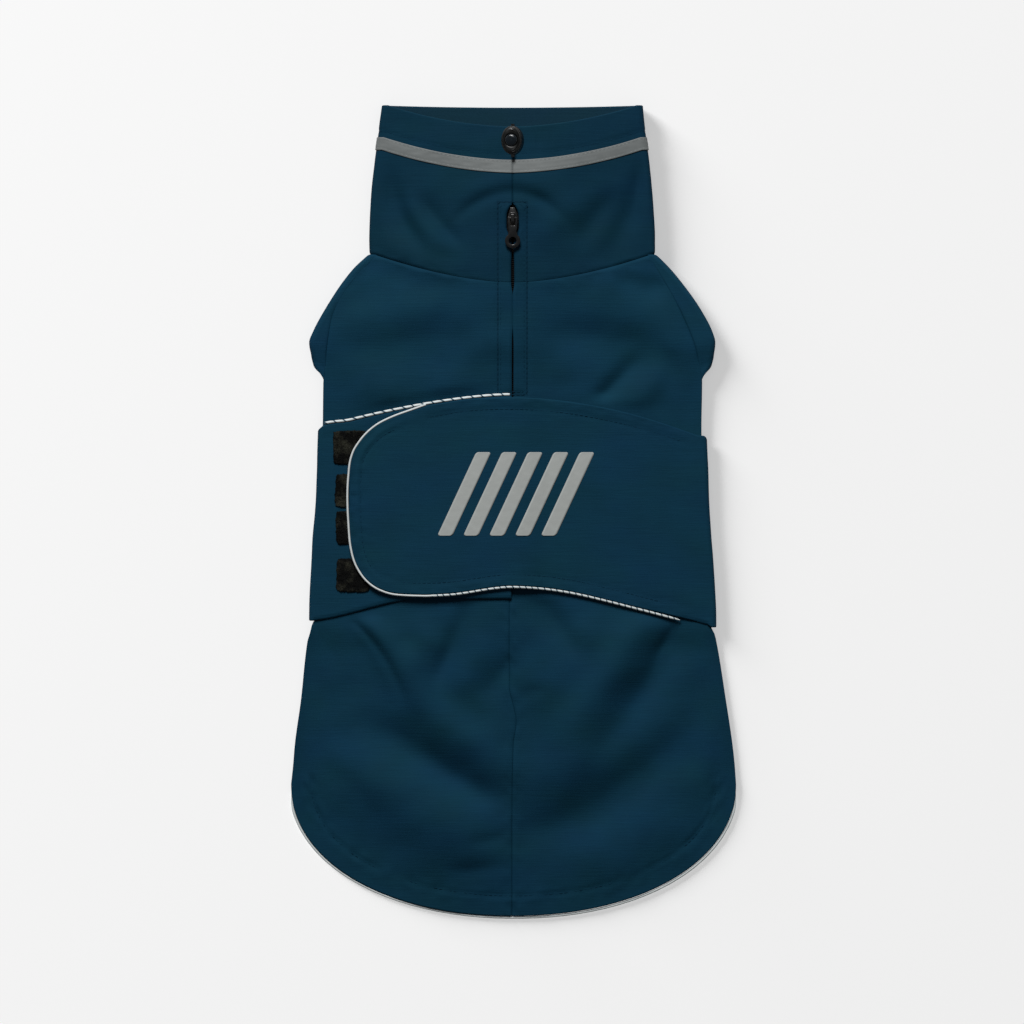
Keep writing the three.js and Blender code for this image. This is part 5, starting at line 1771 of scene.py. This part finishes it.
def in_lock_place(points):
    x, y, z = np.asarray(points, float).reshape(-1, 3).T
    return np.stack([
        LOCK_X + x * cos(LOCK_TILT) + z * sin(LOCK_TILT), LOCK_Y + y,
        LOCK_Z - x * sin(LOCK_TILT) + z * cos(LOCK_TILT)], axis=-1)


def ringed(name, rings, finish, low_cap, top_cap):
    """A closed form from rings of equal count, with a point at each end."""
    rings = np.asarray(rings, float)
    rows, sides = rings.shape[:2]
    faces = []
    for j in range(rows - 1):
        for i in range(sides):
            n = (i + 1) % sides
            faces.append((j * sides + i, j * sides + n, (j + 1) * sides + n, (j + 1) * sides + i))
    for i in range(sides):
        n = (i + 1) % sides
        faces.append((rows * sides, n, i))
        faces.append((rows * sides + 1, (rows - 1) * sides + i, (rows - 1) * sides + n))
    vertices = np.concatenate([rings.reshape(-1, 3), [low_cap], [top_cap]])
    made = make_object(name, in_lock_place(vertices), faces, [finish])
    make_outward(made)
    print(f"{name}: {sum(len(f) - 2 for f in faces)} triangles")
    return made


# %% Cord lock
SIDES = 72
turn = np.arange(SIDES) * 2 * pi / SIDES


def oval_ring(inset, z):
    grip = smooth(-0.15, 0.45, np.cos(turn))
    rib = 0.22 * grip * np.sin(2 * pi * inset / 1.05) * smooth(0.4, 0.8, inset) * smooth(3.4, 2.7, inset)
    return np.stack([(LOCK_HALF_WIDTH - inset) * np.cos(turn), (LOCK_HALF_LENGTH - inset) * np.sin(turn),
                     z + rib + 0 * turn], axis=-1)


def bore_ring(radius, z):
    return np.stack([radius * np.cos(turn), radius * np.sin(turn), z + 0 * turn], axis=-1)


rings = [oval_ring(0.5, 0.0), oval_ring(0.15, 0.15), oval_ring(0.0, 0.5)]
rings += [oval_ring(0.04 * z, z) for z in np.linspace(1.2, 6.6, 7)]
for inset in np.linspace(0.3, 2.55, 24):
    drop = 2.4 * (1 - np.sqrt(max(0.0, 1 - ((2.6 - inset) / 2.6) ** 2)))
    rings.append(oval_ring(inset, LOCK_HEIGHT - drop))
bore = BUTTON_RADIUS + BUTTON_CLEARANCE
rings += [mix(oval_ring(2.55, LOCK_HEIGHT), bore_ring(bore + 0.25, LOCK_HEIGHT), s) for s in (0.5, 0.9)]
rings += [bore_ring(bore, LOCK_HEIGHT - 0.25), bore_ring(bore, 6.0), bore_ring(bore, 4.3)]
cord_lock = ringed("cord_lock_barrel", rings, lock_plastic, (0, 0, 0), (0, 0, 4.1))

# %% Lock button
top = LOCK_HEIGHT + BUTTON_PROUD
rings = [bore_ring(BUTTON_RADIUS - 0.3, BUTTON_BOTTOM), bore_ring(BUTTON_RADIUS, BUTTON_BOTTOM + 0.3)]
rings += [bore_ring(BUTTON_RADIUS, z) for z in np.linspace(6.5, top - 1.3, 5)]
for a in np.radians(np.linspace(8, 84, 10)):
    rings.append(bore_ring(BUTTON_RADIUS * cos(a) ** 0.55, top - 1.3 + 1.3 * sin(a)))
lock_button = ringed("cord_lock_cap", rings, button_plastic, (0, 0, BUTTON_BOTTOM), (0, 0, top))

# %% [markdown]
# The drawcord runs inside the collar's tunnel. All that shows is a short stretch that comes out of
# the seam, goes through the lock and back in, so it is a captive piece and not a free cord. Its
# braid is a fine diagonal relief.

# %% Drawcord
route = [(0, -9.9, 2.05), (0, -9.2, 2.15), (0, -8, 2.2), (0, -3, 2.2), (0, 3, 2.2), (0, 9.9, 2.2)]
route = resampled(route, 0.35)
drawcord = tube("drawcord_braid", in_lock_place(route), 1.08, [black_braid], sides=16,
                waves=lambda a, s: 0.06 * np.sin(4 * a + 5.2 * s) * np.sin(4 * a - 5.2 * s))

# %% [markdown]
# The lock stands so far above the cloth that the low main lamp would draw a long shadow from it,
# which the soft light of a studio doesn't. So that lamp's light passes through it.

# %% Lamp and lock
shadow_makers = bpy.data.collections.new("key_shadow_makers")
for index, piece in enumerate((cord_lock, lock_button)):
    shadow_makers.objects.link(piece)
    shadow_makers.collection_objects[index].light_linking.link_state = "EXCLUDE"
key_lamp.light_linking.blocker_collection = shadow_makers

# %% Attaching the cloth
for piece, node, flat, area, sewn_on in (
    (back_left, "back_left", (0.14, 0.41), 0.0475, []),
    (back_right, "back_right", (0.14, 0.41), 0.0475, []),
    (collar, "collar", (0.34, 0.107), 0.034, [collar_tape, tape_stitches, drawcord]),
    (chest, "chest_panel", (0.26, 0.107), 0.024, []),
    (band, "belly_band", (0.585, 0.14), 0.0655, [*print_bars, right_piping, left_piping]),
):
    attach(piece, "coat")
    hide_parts(node)

for piece, node, slot in (
    (collar_tape, "collar_tape", "grey_trim"),
    (hem_piping, "hem_piping", "grey_trim"),
    (right_piping, "right_wing_piping", "grey_trim"),
    (left_piping, "left_wing_piping", "grey_trim"),
):
    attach(piece, "coat")
    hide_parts(node)
for piece, node, body, slot in (
    (zip_tape, "zip_tape", "coat", "black_cloth"),
    (drawcord, "drawcord", "coat", "black_cloth"),
    (slider, "zip_slider", "coat", "black_metal"),
    (pull, "zip_pull", "pull", "black_metal"),
    (cord_lock, "cord_lock", "coat", "black_plastic"),
    (lock_button, "cord_lock_button", "button", "black_plastic"),
):
    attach(piece, body)
    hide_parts(node)
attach(zip_coil, "coat")
for piece in (petrol_stitches, tape_stitches):
    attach(piece, "coat")
for name, ground, loops in loop_patches:
    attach(ground, "coat")
    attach(loops, "coat")
    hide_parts("loop_patch_" + name)
for bar in print_bars:
    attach(bar, "coat")


print("every piece rides on its body")
